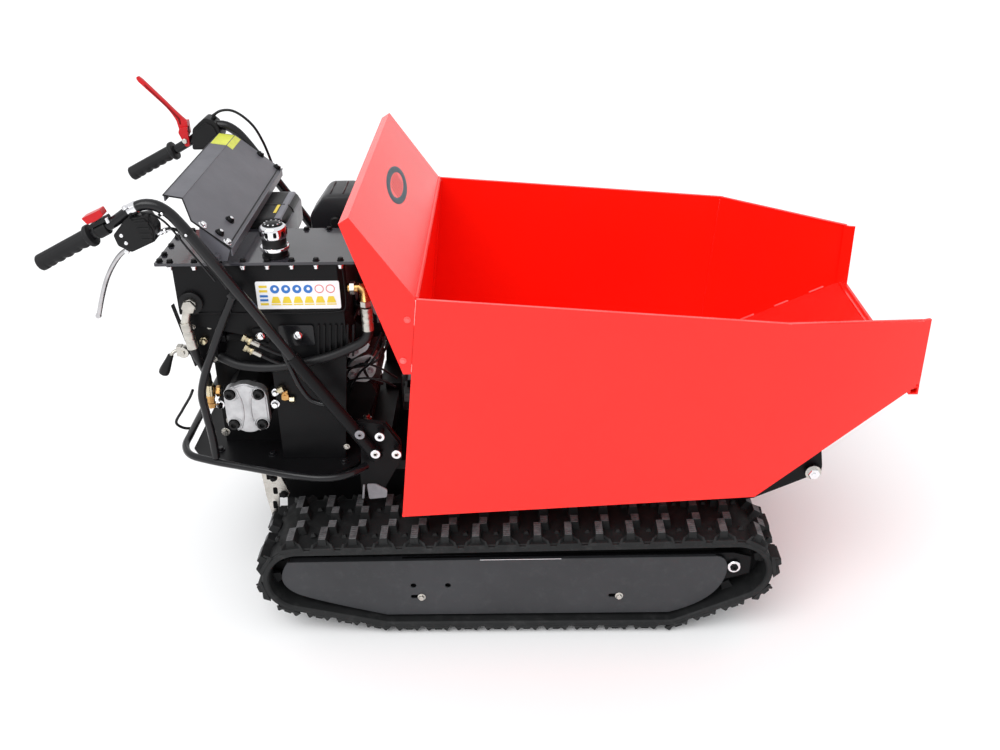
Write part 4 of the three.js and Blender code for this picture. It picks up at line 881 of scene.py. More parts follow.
def clutch_cable():
    y = BAR_Y
    route = [(-606, y, 907), (-588, y + 2, 917), (-566, y + 3, 918), (-546, y + 4, 908),
        (-522, y + 8, 882), (-506, y + 13, 845), (-494, y + 17, 800), (-480, y + 17, 742),
        (-440, y + 17, 676), (-399, y + 17, 612), (-366, y + 17, 560)]
    made = Build()
    made.sweep(route, 2.9, CABLE_SKIN, 12, 6)
    made.done("clutch_wire", angle=50, replaces=["clutch_cable"])


def crimp(made, start, end, radius, material):
    """A hose ferrule: a rolled collar at each end and two shallow pressed bands between them."""
    start, end = np.array(start, float), np.array(end, float)
    long = np.linalg.norm(end - start)
    r = radius
    profile = [(r * 0.7, 0), (r, 0), (r, 2.4), (r - 1.0, 3.2), (r - 1.0, 5), (r - 0.2, 6)]
    for share in (0.36, 0.66):
        t = share * long
        profile += [(r - 0.2, t - 2), (r - 0.8, t - 1), (r - 0.8, t + 1), (r - 0.2, t + 2)]
    profile += [(r - 0.2, long - 4), (r, long - 3), (r, long), (r * 0.7, long)]
    made.lathe(profile, start, end - start, material, 28)


def feed_hose():
    made = Build()
    x, z = -556, 684
    made.lathe([(6, 0), (12.8, 0), (12.8, 7), (11.6, 8), (6, 8)], (x, -232.3, z), OUT_RIGHT, STEEL, 6,
        turn=0.4)
    made.lathe([(6, 8), (10.5, 8), (10.5, 10), (12.9, 10.4), (12.9, 16.8), (11, 17.8), (0, 17.8)],
        (x, -232.3, z), OUT_RIGHT, STEEL, 6, turn=0.1)
    made.sweep([(-558, -241, 684), (-563, -241, 668), (-568, -241, 650)], 8.4, STEEL, 18, 4)
    crimp(made, (-568, -241, 652), (-562, -240, 598), 10.5, STEEL)
    made.sweep([(-563, -240, 606), (-560, -234, 578), (-557, -218, 548), (-560, -192, 515),
        (-563, -180, 490), (-557, -176, 474), (-539, -176, 470)], 8, HOSE_RUBBER, 20, 6)
    made.lathe([(6, 0), (11, 0), (11.4, 1), (11.4, 9), (9, 10), (6, 10)], (-551, -176, 470), (1, 0, 0),
        BRASS, 6)
    made.done("suction_hose", angle=40, replaces=["feed_hose"])


def return_hose():
    made = Build()
    made.rod((-266.4, -205, 702), (-244, -205, 702), 8.8, BRASS, 20)
    made.lathe([(7, 0), (12.5, 0), (12.5, 8), (7, 8)], (-262, -205, 702), (1, 0, 0), STEEL, 6)
    made.sweep([(-243, -205, 702), (-236, -212, 697), (-232, -226, 685), (-231, -232, 674)], 9.8, BRASS,
        20, 4)
    made.lathe([(7, 0), (11, 0), (11, 10), (7, 11)], (-231, -231, 686), (0, -0.1, -1), STEEL, 6)
    crimp(made, (-231, -232, 674), (-231, -232, 628), 11, STEEL)
    made.sweep([(-231, -232, 636), (-232, -232, 618), (-244, -231, 602), (-271, -230, 587),
        (-312, -229, 570), (-352, -228, 559), (-392, -227, 551), (-441, -226, 548), (-486, -223, 553),
        (-510, -218, 562), (-522, -214, 566)], 9, HOSE_RUBBER, 20, 7)
    made.done("return_line", angle=40, replaces=["return_hose"])


def pressure_hose():
    made = Build()
    made.lathe([(5, 0), (9, 0), (9, 20), (5, 20)], (-428, -176, 470), (1, 0, 0), BRASS, 6)
    made.lathe([(5, 0), (10.5, 0), (10.5, 7), (5, 7)], (-427, -176, 470), (1, 0, 0), ZINC, 6, turn=0.3)
    made.sweep([(-412, -176, 470), (-394, -176, 478), (-390, -175, 500), (-400, -174, 540),
        (-436, -174, 572), (-476, -176, 588), (-513, -178, 590)], 7, HOSE_RUBBER, 18, 6)
    made.lathe([(5, 0), (9.2, 0), (9.2, 22), (5, 22)], (-486, -176.6, 588.6), (-1, 0, 0.05),
        DARK_CASTING, 6)
    made.done("pressure_line", angle=40, replaces=["pressure_hose"])


# ------------------------------------------------------------------ skip


def weld(made, start, end, out, material=None, pitch=3.4, radius=2.0):
    """A bead of overlapping ripples along a seam; unless told otherwise it is in the lighter red of a
    painted highlight.
    """
    start, end = np.array(start, float), np.array(end, float)
    long = np.linalg.norm(end - start)
    count = max(2, int(long / (pitch / 2)))
    rings = []
    aim = unit(end - start)
    side = unit(np.cross(aim, out))
    over = np.cross(side, aim)
    for i in range(count + 1):
        t = i / count
        r = radius * (0.82 + 0.18 * (i % 2)) * (0.35 if i in (0, count) else 1)
        centre = start + (end - start) * t
        rings.append([centre + side * (r * 1.25 * math.cos(a)) + over * (r * 0.7 * math.sin(a))
            for a in np.arange(8) / 8 * 2 * math.pi])
    made.rings(rings, material or RED_HIGHLIGHT)


def skip_details():
    finish_node("skip_shell", RED_PAINT, 1.0)
    finish_node("spill_guard", RED_PAINT, 1.0)
    finish_node("skip_subframe", BLACK_PAINT, 1.0)
    w, v = 345, 253
    rim = {"rear": (-127, 738), "fold": (519, 684), "front": (790, 645)}
    base = {"rear": (-177, 282), "fold": (495, 322), "front": (800, 508)}
    made = Build()

    def inside(point, y, shift=(0, 0)):
        return (point[0] + shift[0], y, point[1] + shift[1])

    for s in (-1, 1):
        inner = s * (w - 4.6)
        weld(made, inside(base["rear"], inner, (6, 5)), inside(base["fold"], inner, (-1, 5)),
            (0, -s, 1), RED_PAINT)
        weld(made, inside(rim["rear"], inner, (5, -4)), inside(base["rear"], inner, (5.5, 8)),
            (1, -s, 0), RED_PAINT)
        weld(made, inside(rim["fold"], inner, (-1, -4)), inside(base["fold"], inner, (-1, 6)),
            (0, -s, 0.2), RED_PAINT, radius=1.4)
        a = np.array(inside(base["fold"], s * (w - 6), (2, 7)))
        b = np.array(inside(base["front"], s * (v - 3), (-4, 6)))
        # Stitch welds along the floor, in the default lighter red that paints their highlights.
        for t in (0.06, 0.3, 0.54, 0.78):
            weld(made, a + (b - a) * t, a + (b - a) * (t + 0.1), (0, -s, 1))
        # A short weld at the fold and a line along each side wall's top edge, both in the lighter red:
        # painted highlights on the bead and on the sheet's edge.
        a = np.array(inside(rim["fold"], s * (w - 2), (1, 0.6)))
        weld(made, a, a + np.array((7, 0, -1)), UP)
        edge = [(*rim["rear"], w), (*rim["fold"], w), (*rim["front"], v)]
        made.sweep([(x + 1, s * (half - 2.1), z + 0.1) for x, z, half in edge], 1.9, RED_HIGHLIGHT, 10,
            smooth=False)
    made.sweep([(-127, -341, 738.6), (-127, 341, 738.6)], 3.2, RED_PAINT, 12, smooth=False)
    made.done("skip_welds", angle=70, body="skip")

    guard = Build()
    centre = np.array((-189.0, 20.0, 826.0))
    out = unit((0.818, 0, 0.575))
    up = unit((-104, 0, 148))
    across = np.array((0, 1.0, 0))
    count = 56

    def oval(a, b, lift):
        return [centre + out * lift + across * (a * math.cos(t)) + up * (b * math.sin(t))
            for t in np.arange(count) / count * 2 * math.pi]

    guard.rings([oval(95, 29.5, -1.5), oval(95, 29.5, 0.5), oval(94, 28.7, 0.9), oval(69, 18.8, 0.9),
        oval(68, 18, 0.5), oval(68, 18, -1.5)], BADGE_GREY, closed=True)
    guard.rings([oval(68.4, 18.4, -1.5), oval(68.4, 18.4, 0.3)], BADGE_PINK)
    for shift in (-42, -28, -14, 0, 14, 28, 42):
        reach = 16 * math.sqrt(1 - (shift / 68) ** 2)
        corners = [(-8, -reach), (-5.4, -reach), (8, reach), (5.4, reach)]
        low, high = ([centre + out * lift + across * (shift + p) + up * q for p, q in corners]
            for lift in (-1.5, 0.7))
        guard.rings([low, high], DARK_RED)
    guard.done("emblem", angle=40, body="skip")

    bolts = Build()
    # Bolt heads on the skip's rear, in the lighter red of a painted highlight.
    for s in (-1, 1):
        for x, z in ((-140, 700), (-152, 620)):
            bolts.bolt((x - 4, s * 344.3, z), (0, s, 0), 9, RED_HIGHLIGHT, height=3)
    for s in (-1, 1):
        px, pz = 625, 325
        bolts.lathe([(6, 0), (15, 0), (15.5, 1), (15.5, 2.4), (6, 2.4)], (px, s * 266.4, pz), (0, s, 0),
            ZINC, 24)
        bolts.lathe([(6, 2.4), (12, 2.4), (12, 9), (10.5, 10.4), (5, 10.4), (5, 12.5), (0, 13)],
            (px, s * 266.4, pz), (0, s, 0), CHROME, 6)
    bolts.done("tip_bolts", angle=30, body="skip")


# ------------------------------------------------------------------ console


def console():
    finish_node("console_cover", CONSOLE_PAINT, 0.9)
    bend, foot, edge = (np.array((x, 0, z), float) for x, z in ((-556, 871), (-463, 794), (-591, 876)))
    slope, run = unit(foot - bend), unit(bend - edge)
    out, strip_out = unit((77, 0, 93)), unit((5, 0, 35))

    def on_face(distance, y, lift=0.0):
        return bend + slope * distance + np.array((0, y, 0)) + out * lift

    def on_strip(distance, y, lift=0.0):
        return edge + run * distance + np.array((0, y, 0)) + strip_out * lift

    made = Build()
    knob = [(6, -0.5), (9, 0), (9, 1.4), (7.4, 1.6), (7.2, 4.0), (5.6, 6.4), (3, 7.6), (0, 8)]
    for distance, y in ((90, -141), (88, -213), (66, 232), (110, 228)):
        made.lathe(knob, on_face(distance, y, 0.1), out, BLACK_PAINT, 24)
        made.lathe([(0, 0), (4.5, 0.2), (3.4, 1.5), (0, 2)], on_face(distance, y, 6.2), out, CHROME, 18)
    for distance in (56, 108):
        made.bolt(on_face(distance, -228, 0.1), out, 12, CHROME, height=5)
    made.done("console_bolts", angle=35)

    hem = Build()
    hem.sweep([on_face(120.3, -234, 1.2), on_face(120.3, 238, 1.2)], 1.6, CONSOLE_PAINT, 12,
        smooth=False)
    hem.sweep([on_face(0, -181, 0.1), on_face(0, 159, 0.1)], 0.9, CONSOLE_PAINT, 10, smooth=False)
    # A black line below the hem: painted shade in the groove between the face and the fold.
    hem.sweep([on_face(113, -234, 0.5), on_face(113, 238, 0.5)], 1.3, BLACK_PAINT, 10, smooth=False)
    rim = [(-591.5, 239, 875.4), (-591.5, -176.5, 875.4), (-556, -180.8, 870.5),
        (-528.3, -236.6, 847.2), (-464, -236.6, 794)]
    hem.sweep(rim, 1.5, BLACK_PAINT, 10, smooth=False)
    hem.done("console_folds", angle=50)

    label = Build()
    for place, span in ((on_strip, (2, 34.6)), (on_face, (0.8, 15))):
        corners = [(span[0], 160), (span[0], 236), (span[1], 236), (span[1], 160)]
        label.rings([[place(d, y, lift) for d, y in corners] for lift in (-0.6, 0.35)], STICKER)
    label.done("console_sticker", angle=20)


# ------------------------------------------------------------------ hydraulic tank, pump and valve

LID_BASE, LID_TOP = 757.4, 763


def hydraulic_tank():
    finish_node("hydraulic_tank", BLACK_PAINT, 1.6)
    finish_node("tank_support", BLACK_PAINT, 1.0)
    low, high = box("hydraulic_tank")
    x0, x1, y0, y1 = low[0] - 30, high[0] + 22, -228, -50
    made = Build()
    sheet = round_corners([(x0, y0), (x1, y0), (x1, y1), (x0, y1)], 4, 3)
    made.prism(sheet, LID_BASE, LID_TOP, LID_PAINT, "xy")
    rows = [x0 + 28 + i * 44.6 for i in range(8)]
    spots = [(x, y) for x in rows for y in (y0 + 8, y1 - 8)] + [(x0 + 8, y)
        for y in (y0 + 12, -184, -139, -94)]
    spots += [(x1 - 8, y) for y in (-184, -139, -94)]
    for x, y in spots:
        made.lathe([(3.4, 0), (6.6, 0), (6.6, 0.9), (3.4, 0.9)], (x, y, LID_TOP), UP, BLACK_PAINT, 18)
        made.lathe([(3.4, 0.9), (5.4, 0.9), (5.4, 4.4), (4.6, 5.4), (0, 5.4)], (x, y, LID_TOP), UP,
            BLACK_PAINT, 6)
    for x in rows:
        made.lathe([(0, -8), (3.4, -8), (4.6, -7), (4.6, -3), (5.8, -2.6), (5.8, 0), (0, 0)],
            (x, y0 + 2.6, 757.3), UP, CHROME, 12)
    fx, fy, _ = middle("filler_cap")
    made.lathe([(8, 0), (25, 0), (25, 2.5), (23, 3), (23, 12.8), (8, 12.8)], (fx, fy, LID_TOP), UP,
        BLACK_PAINT, 32)
    made.done("lid", bevel=0.8, angle=40, replaces=["tank_lid"])

    cap = Build()
    seat = (fx, fy, 776.6)
    cap.lathe([(10, 0), (26.6, 0), (27, 1.5), (27, 5), (26, 6.4), (10, 6.4)], seat, UP, CHROME, 40)
    cap.lathe([(10, 6.4), (21.5, 6.4), (22.5, 8), (22.5, 22), (21, 23.5), (10, 23.5)], seat, UP,
        BLACK_PLASTIC, 40)
    cap.lathe([(10, 23), (24, 23), (25, 24.5), (25, 39), (23.6, 43), (20, 46), (16, 46.4), (10, 46.4)],
        seat, UP, CHROME, 40)
    cap.lathe([(0, 45.6), (19.4, 45.6), (17, 48.2), (9, 50.2), (0, 50.4)][::-1], seat, UP, BLACK_PAINT,
        40)

    def on_rim(angle, height, radius, p, q):
        return (fx + radius * math.cos(angle) - p * math.sin(angle), fy + radius * math.sin(angle) + p
            * math.cos(angle), 776.6 + height + q)

    for i in range(10):
        a = i / 10 * 2 * math.pi
        slot = [(-2.6, 0), (2.6, 0), (3.2, 4), (2.6, 10), (-2.6, 10), (-3.2, 4)]
        cap.rings([[on_rim(a, 28, radius, p, q) for p, q in slot] for radius in (23.4, 25.3)],
            SHADOW_BLACK)
        mark = [(-1.6, -1.4), (1.6, -1.4), (1.6, 1.4), (-1.6, 1.4)]
        cap.rings([[(fx + (14 + q) * math.cos(a) - p * math.sin(a), fy + (14 + q) * math.sin(a) + p
            * math.cos(a), z) for p, q in mark] for z in (824, 826.6)], CHROME)
    for i in range(3):
        a = i / 3 * 2 * math.pi + 0.5
        cap.bolt(on_rim(a, 6.2, 24, 0, 0), UP, 4.5, CHROME, height=1.6, washer=False)
    cap.done("breather_cap", bevel=0.5, angle=35, replaces=["filler_cap"], body="filler_cap")

    label = Build()
    y = -222
    label.prism(round_corners([(-434, 668), (-279, 668), (-279, 723.5), (-434, 723.5)], 4, 4), y - 0.5,
        y + 1, LABEL_WHITE)
    for i in range(6):
        x = -399 + i * 20.6
        disc = circle(x, 708, 8.4, 28)
        if i < 4:
            label.prism(disc, y - 0.9, y, LABEL_BLUE)
            label.prism(circle(x + 0.6, 708.6, 3.2, 16), y - 1.2, y, LABEL_WHITE)
        else:
            ring = [[(px, h, pz) for px, pz in circle(x, 708, r, 28)] for r,
                h in ((8.4, y), (8.4, y - 0.9), (6.9, y - 0.9), (6.9, y))]
            label.rings(ring, LABEL_RED, caps=False, closed=True)
    for i in range(6):
        x = -399 + i * 20.6
        label.prism([(x - 9, 676), (x + 9, 676), (x + 9, 678.2), (x - 9, 678.2)], y - 0.9, y,
            LABEL_YELLOW)
        label.prism(round_corners([(x - 9, 680), (x + 9, 680), (x + 5, 693), (x - 5, 693)], 2, 3),
            y - 0.9, y, LABEL_YELLOW)
    for z in (676, 684, 692, 702, 711):
        label.prism([(-428, z), (-413, z), (-413, z + 4.4), (-428, z + 4.4)], y - 0.9, y,
            LABEL_BLUE if z in (684, 692) else LABEL_YELLOW)
    label.done("tank_label", angle=30)

    rim = Build()
    rim.lathe([(12, 0), (21, 0), (22, 1.5), (22, 8.6), (20.5, 9.8), (12, 9.8)], (-556, -222, 684),
        OUT_RIGHT, BLACK_PLASTIC, 32)
    rim.sweep([(-581, -223, 662), (-282, -223, 662), (-273, -223, 666), (-270, -222.4, 676),
        (-270, -222.4, 752)], 1.6, BLACK_PAINT, 10, 8)
    rim.done("tank_trim", angle=50)


def pump():
    finish_node("pump_body", DARK_CASTING, 1.6)
    made = Build()
    cx, _, cz = middle("pump_cover")
    lobe = [(-42, 22), (-39, 40), (-30, 47), (-17, 49), (-8, 53.6), (0, 54), (8, 53.6), (17, 49),
        (30, 47), (40, 39), (42, 22)]
    outline = [(cx + a, cz + b) for a, b in lobe] + [(cx - a, cz - b) for a, b in lobe]
    outline = round_corners(outline, 5, 2)
    made.prism(outline, -224, -206.6, CAST_ALUMINIUM)
    shrink = [(cx + (a - cx) * 0.93, cz + (b - cz) * 0.945) for a, b in outline]
    made.prism(shrink, -227, -222, CAST_ALUMINIUM)
    for s in (-1, 1):
        for t in (-1, 1):
            bx, bz = cx + s * 28, cz + t * 33.5
            made.lathe([(0, 0), (12.4, 0), (12.4, 1.0), (11.4, 1.2), (10.4, 1.2), (10.2, 0.4),
                (0, 0.4)], (bx, -226.8, bz), OUT_RIGHT, CAST_ALUMINIUM, 28)
            made.lathe([(9.4, 0.3), (11.6, 0.3), (11.6, 1.5), (9.4, 1.5)], (bx, -226.8, bz), OUT_RIGHT,
                SHADOW_BLACK, 28)
            made.lathe([(0, 0), (9.4, 0), (9.6, 1), (9.6, 7.6), (8.6, 8.8), (5.2, 8.8), (5.0, 3.2),
                (0, 3.2)], (bx, -227, bz), OUT_RIGHT, BLACK_PLASTIC, 26)
            arc = []
            for k in range(9):
                a = math.radians(-70 + k * 17.5) + (math.pi if s > 0 else 0)
                arc.append((bx + 15.4 * math.cos(a), -227, bz + 15.4 * math.sin(a)))
            made.sweep(arc, lambda q: 2.1 * math.sin(math.pi * min(max(q, 0.08), 0.92)) + 0.3,
                CAST_ALUMINIUM, 10, 3)
    made.sweep([(cx - 17, -227, cz - 44), (cx - 8, -227.4, cz - 20), (cx - 8, -227.4, cz + 18),
        (cx - 16, -227, cz + 44)], 1.8, CAST_ALUMINIUM, 10, 5)
    made.sweep([(cx + 17, -227, cz - 44), (cx + 9, -227.4, cz - 20), (cx + 10, -227.4, cz + 18),
        (cx + 17, -227, cz + 44)], 1.8, CAST_ALUMINIUM, 10, 5)
    made.done("pump_plate", bevel=1.3, angle=35, replaces=["pump_cover"])

    fittings = Build()
    fittings.lathe([(5, 0), (9, 0), (9, 10), (7.5, 11), (7.5, 20), (9, 21), (9, 27), (5, 28)],
        (-563, -186, 440), (0.1, 0, 1), BRASS, 6)
    fittings.lathe([(5, 0), (8, 0), (8, 24), (5, 25)], (-561, -186, 466), (0.06, 0, 1), PALE_BRASS, 18)
    fittings.bolt((-545, -186, 445), OUT_RIGHT, 14, CHROME, height=7)
    for x, z, size in ((-541, 384, 13), (-529, 411, 11)):
        fittings.bolt((x, -190, z), OUT_RIGHT, size, ZINC, height=6)
    for x, z, size in ((-424, 488, 11), (-427, 462, 13)):
        fittings.bolt((x, -216, z), OUT_RIGHT, size, CHROME, height=7)
    fittings.lathe([(0, 0), (8, 0), (8, 10), (6, 11), (6, 18), (0, 18)], (-404, -222, 476), (0, 0.1, 1),
        BRASS, 6)
    fittings.lathe([(0, 0), (7, 0), (8, 2), (8, 12), (6, 13), (0, 13)], (-416, -222, 494), (1, 0, 0.5),
        PALE_BRASS, 20)
    fittings.lathe([(0, 0), (7, 0), (7, 9), (0, 9)], (-396, -221, 474), (1, 0, 0), PALE_BRASS, 6)
    fittings.rod((-404, -214.4, 484), (-404, -226, 484), 7, BRASS, 16)
    fittings.done("pump_fittings", angle=30)


def valve():
    finish_node("valve_block", BLACK_PAINT, 1.2)
    made = Build()
    for bx, bz in ((-567, 557), (-535, 557), (-567, 626), (-535, 626)):
        made.bolt((bx, -206, bz), OUT_RIGHT, 8, ZINC, height=4)
    made.lathe([(6, 0), (11, 0), (11, 5), (9, 6.5), (6, 6.5)], (-576, -178, 560), (-1, 0, 0), STEEL, 24)
    made.lathe([(0, 0), (8, 0), (8, 9), (6, 10), (6, 16), (0, 17)], (-548, -206, 600), OUT_RIGHT,
        PALE_BRASS, 6)
    for px, pz in ((-468, 616), (-467, 595)):
        made.lathe([(3, 0), (7.5, 0), (7.5, 6), (5.6, 7), (5.6, 13), (8, 14), (8, 18), (3, 18)],
            (px, -232, pz), (0.75, 0, -0.5), PALE_BRASS, 6)
        made.rod((px + 12, -232, pz - 9), (px + 30, -232, pz - 19), 4.6, STEEL, 16)
        made.sweep([(px + 28, -232, pz - 18), (px + 48, -231, pz - 30), (px + 66, -228, pz - 40),
            (px + 90, -222, pz - 48)], 3.4, HOSE_RUBBER, 14, 6)
    dome = [(0, 0), (8, 0), (9.5, 1.5), (9.5, 4.5), (7, 8), (3, 10), (0, 10.4)]
    plate_at = round_corners([(-402, 590), (-336, 590), (-336, 632), (-402, 632)], 5)
    made.prism(plate_at, -219, -214.3, GREY_PAINT)
    made.lathe(dome, (-366, -219, 612), OUT_RIGHT, CHROME, 24)
    made.prism(round_corners([(-452, 598), (-422, 598), (-422, 626), (-452, 626)], 4), -219, -214.3,
        BLACK_PAINT)
    made.lathe(dome, (-437, -219, 611), OUT_RIGHT, CHROME, 24)
    made.prism([(-594, 680), (-588, 684), (-562, 556), (-568, 552)], -229, -226, BLACK_PAINT)
    made.done("valve_fittings", bevel=0.5, angle=35)

    lever = Build()
    x, z = -602, 560
    lever.lathe([(0, 0), (10.8, 0), (11.4, 1), (11.4, 14.8), (10.8, 15.8), (0, 15.8)], (x, -185.9, z),
        (0, 1, 0), STEEL, 32)
    lever.block((x - 12, x - 2), (-186, -170), (z - 7.6, z + 12.8), STEEL)
    lever.lathe([(0, 0), (4.6, 0), (4.6, 2.4), (3.4, 3.2), (0, 3.2)], (x, -186, z), OUT_RIGHT, ZINC, 6)
    lever.sweep([(-610, -178, 563), (-616, -181, 563), (-622, -184, 560), (-628, -186, 552)], 3.4,
        STEEL, 16, 3)
    lever.lathe([(0, 0), (5.5, 0), (6, 2), (6.6, 10), (9.6, 30), (10.5, 38), (9.8, 44), (6, 47),
        (0, 47.6)], (-626, -186, 556), (-0.46, 0, -0.89), BLACK_PLASTIC, 28)
    lever.done("spool_lever", bevel=0.5, angle=40, replaces=["valve_lever"], body="valve_lever")


# ------------------------------------------------------------------ engine and deck


def engine():
    finish_node("engine_block", DARK_CASTING, 2.0)
    finish_node("gearbox", DARK_CASTING, 3.0)
    shroud = Build()
    cx, cz, y0 = -386, 474, 104.4
    shroud.lathe([(20, 0), (117, 0), (118, 2), (118, 30), (113, 42), (104, 55), (98, 57), (96, 57)],
        (cx, y0, cz), (0, 1, 0), BLACK_PLASTIC, 64)
    shroud.lathe([(97, 50), (97, 57), (62, 63.5), (58, 65.4), (20, 65.6), (18, 64), (0, 64)],
        (cx, y0, cz), (0, 1, 0), BLACK_PLASTIC, 64)
    for k in range(24):
        a = k / 24 * 2 * math.pi
        half, r0, r1 = 0.055, 66, 90
        at = [(r0, a - half), (r1, a - half + 0.16), (r1, a + half + 0.16), (r0, a + half)]
        ring = []
        for lift in (-2, 1.4):
            ring.append([(cx + r * math.cos(b), y0 + 63 - (r - 62) * 0.186 + lift, cz + r * math.sin(b))
                for r, b in at])
        shroud.rings(ring, SHADOW_BLACK)
    for k in range(3):
        a = k / 3 * 2 * math.pi + 0.3
        shroud.bolt((cx + 108 * math.cos(a), y0 + 49, cz + 108 * math.sin(a)), (0, 1, 0), 11, ZINC,
            height=5)
    shroud.lathe([(0, 0), (24, 0), (25, 1.5), (22, 2.4), (0, 2.4)], (cx, y0 + 63, cz), (0, 1, 0),
        RED_PLASTIC, 40)
    shroud.done("recoil_cover", bevel=0.9, angle=35, replaces=["engine_shroud"])
    finish_node("starter_grip", BLACK_PLASTIC, 3.0)

    tank = Build()
    shape = [(-548, 704), (-419, 704), *quad((-419, 704), (-409, 706), (-408, 716), 5), (-408, 762),
        *quad((-408, 762), (-410, 776), (-425, 777), 6), (-530, 777), *quad((-530, 777), (-558, 774),
        (-560, 756), 7), (-560, 720), *quad((-560, 720), (-558, 706), (-548, 704), 5)[:-1]]
    mid = np.array((-484.0, 740.0))

    tank.rings(hoops(shape, mid, (0.86, -39.6), (0.95, -36), (0.99, -28), (1, -18), (1, 124),
        (0.99, 133), (0.95, 141), (0.86, 144.6)), BLACK_PAINT)
    tank.rings(hoops(shape, mid, (1.0, 49), (1.018, 50), (1.018, 56), (1.0, 57)), BLACK_PAINT,
        caps=False)
    for y in (-20, 70):
        tank.block((-500, -420), (y, y + 24), (600.6, 708), BLACK_PAINT)
    tank.done("petrol_tank", bevel=0.8, angle=45, replaces=["fuel_tank"])
    band_piece = Build()
    band_piece.prism(round_corners([(-407.8, 716), (-406.4, 718), (-406.4, 760), (-418, 777.6),
        (-430, 777.6), (-430, 776), (-424, 774), (-410, 758)], 2, 2), -30, 134, PALE_PLASTIC)
    band_piece.done("petrol_tank_end", bevel=1.2, angle=30)
    stripe = Build()
    stripe.block((-438, -432), (2, 52), (776.6, 777.6), LABEL_YELLOW)
    stripe.done("petrol_tank_mark")

    cap = Build()
    flutes = 36
    rings = []
    for r, h in ((10, 0), (26, 0), (26.8, 1.4), (26.8, 12.5), (25, 15.4), (18, 17.2), (12, 17.6)):
        ring = []
        for k in range(flutes * 2):
            a = k / (flutes * 2) * 2 * math.pi
            cut = 0.9 if (k % 2 and 1 < h < 15) else 0
            ring.append((-504 + (r - cut) * math.cos(a), 105 + (r - cut) * math.sin(a), 777.4 + h))
        rings.append(ring)
    cap.rings(rings, BLACK_PLASTIC)
    cap.done("petrol_cap", angle=50, replaces=["fuel_cap"], body="fuel_cap")

    cleaner = Build()
    shape = [(-370, 694), (-262, 694), (-262, 782), *quad((-262, 782), (-266, 803), (-290, 805), 8),
        (-328, 805), *quad((-328, 805), (-338, 803), (-344, 795), 5), (-370, 760)]
    mid = np.array((-316.0, 750.0))
    cleaner.rings(hoops(shape, mid, (0.84, 20.4), (0.94, 23), (0.985, 30), (1.0, 42), (1.0, 110),
        (0.985, 121), (0.94, 127), (0.84, 129.6)), SATIN_PLASTIC)
    cleaner.rings([[(x, y, z) for x, y in ((-371, 19.6), (-261, 19.6), (-261, 130.4), (-371, 130.4))]
        for z in (712, 716)], BLACK_PLASTIC)
    for x in (-326, -300):
        cleaner.sweep([(x, 26, 792), (x, 34, 803.4), (x, 75, 804.6), (x, 116, 803.4), (x, 124, 792)],
            2.0, SATIN_PLASTIC, 10, 8)
    cleaner.block((-330, -290), (30, 60), (688.6, 700), BLACK_PLASTIC)
    cleaner.lathe([(0, 0), (11, 0), (12, 2), (12, 9), (9, 12), (0, 12)], (-316, 19.4, 752), OUT_RIGHT,
        BLACK_PLASTIC, 28)
    cleaner.done("air_cleaner", bevel=0.8, angle=40, replaces=["air_filter"])

    can = Build()
    shape = [(-236, 584), (-226, 664), *quad((-226, 664), (-240, 672), (-320, 668), 8),
        *quad((-320, 668), (-330, 660), (-330, 650), 5), (-330, 596), *quad((-330, 596), (-328, 586),
        (-236, 584), 8)[:-1]]
    mid = np.array((-280.0, 626.0))
    can.rings(hoops(shape, mid, (0.9, 108), (0.98, 111), (1, 116), (1, 150), (1.02, 151), (1.02, 154),
        (1, 155), (1, 188), (0.98, 193), (0.9, 196)), DARK_CASTING)
    for k in range(6):
        for j in range(4):
            x, z = -314 + k * 13, 604 + j * 14
            can.lathe([(0, 0), (4.2, 0), (4.2, 1.4), (2.8, 1.4), (2.6, 0.4), (0, 0.4)], (x, 195.9, z),
                (0, 1, 0), STEEL, 14)
    can.rod((-280, 110, 640), (-280, 84.6, 640), 14, DARK_CASTING, 24)
    can.done("silencer", bevel=0.8, angle=40, replaces=["muffler"])

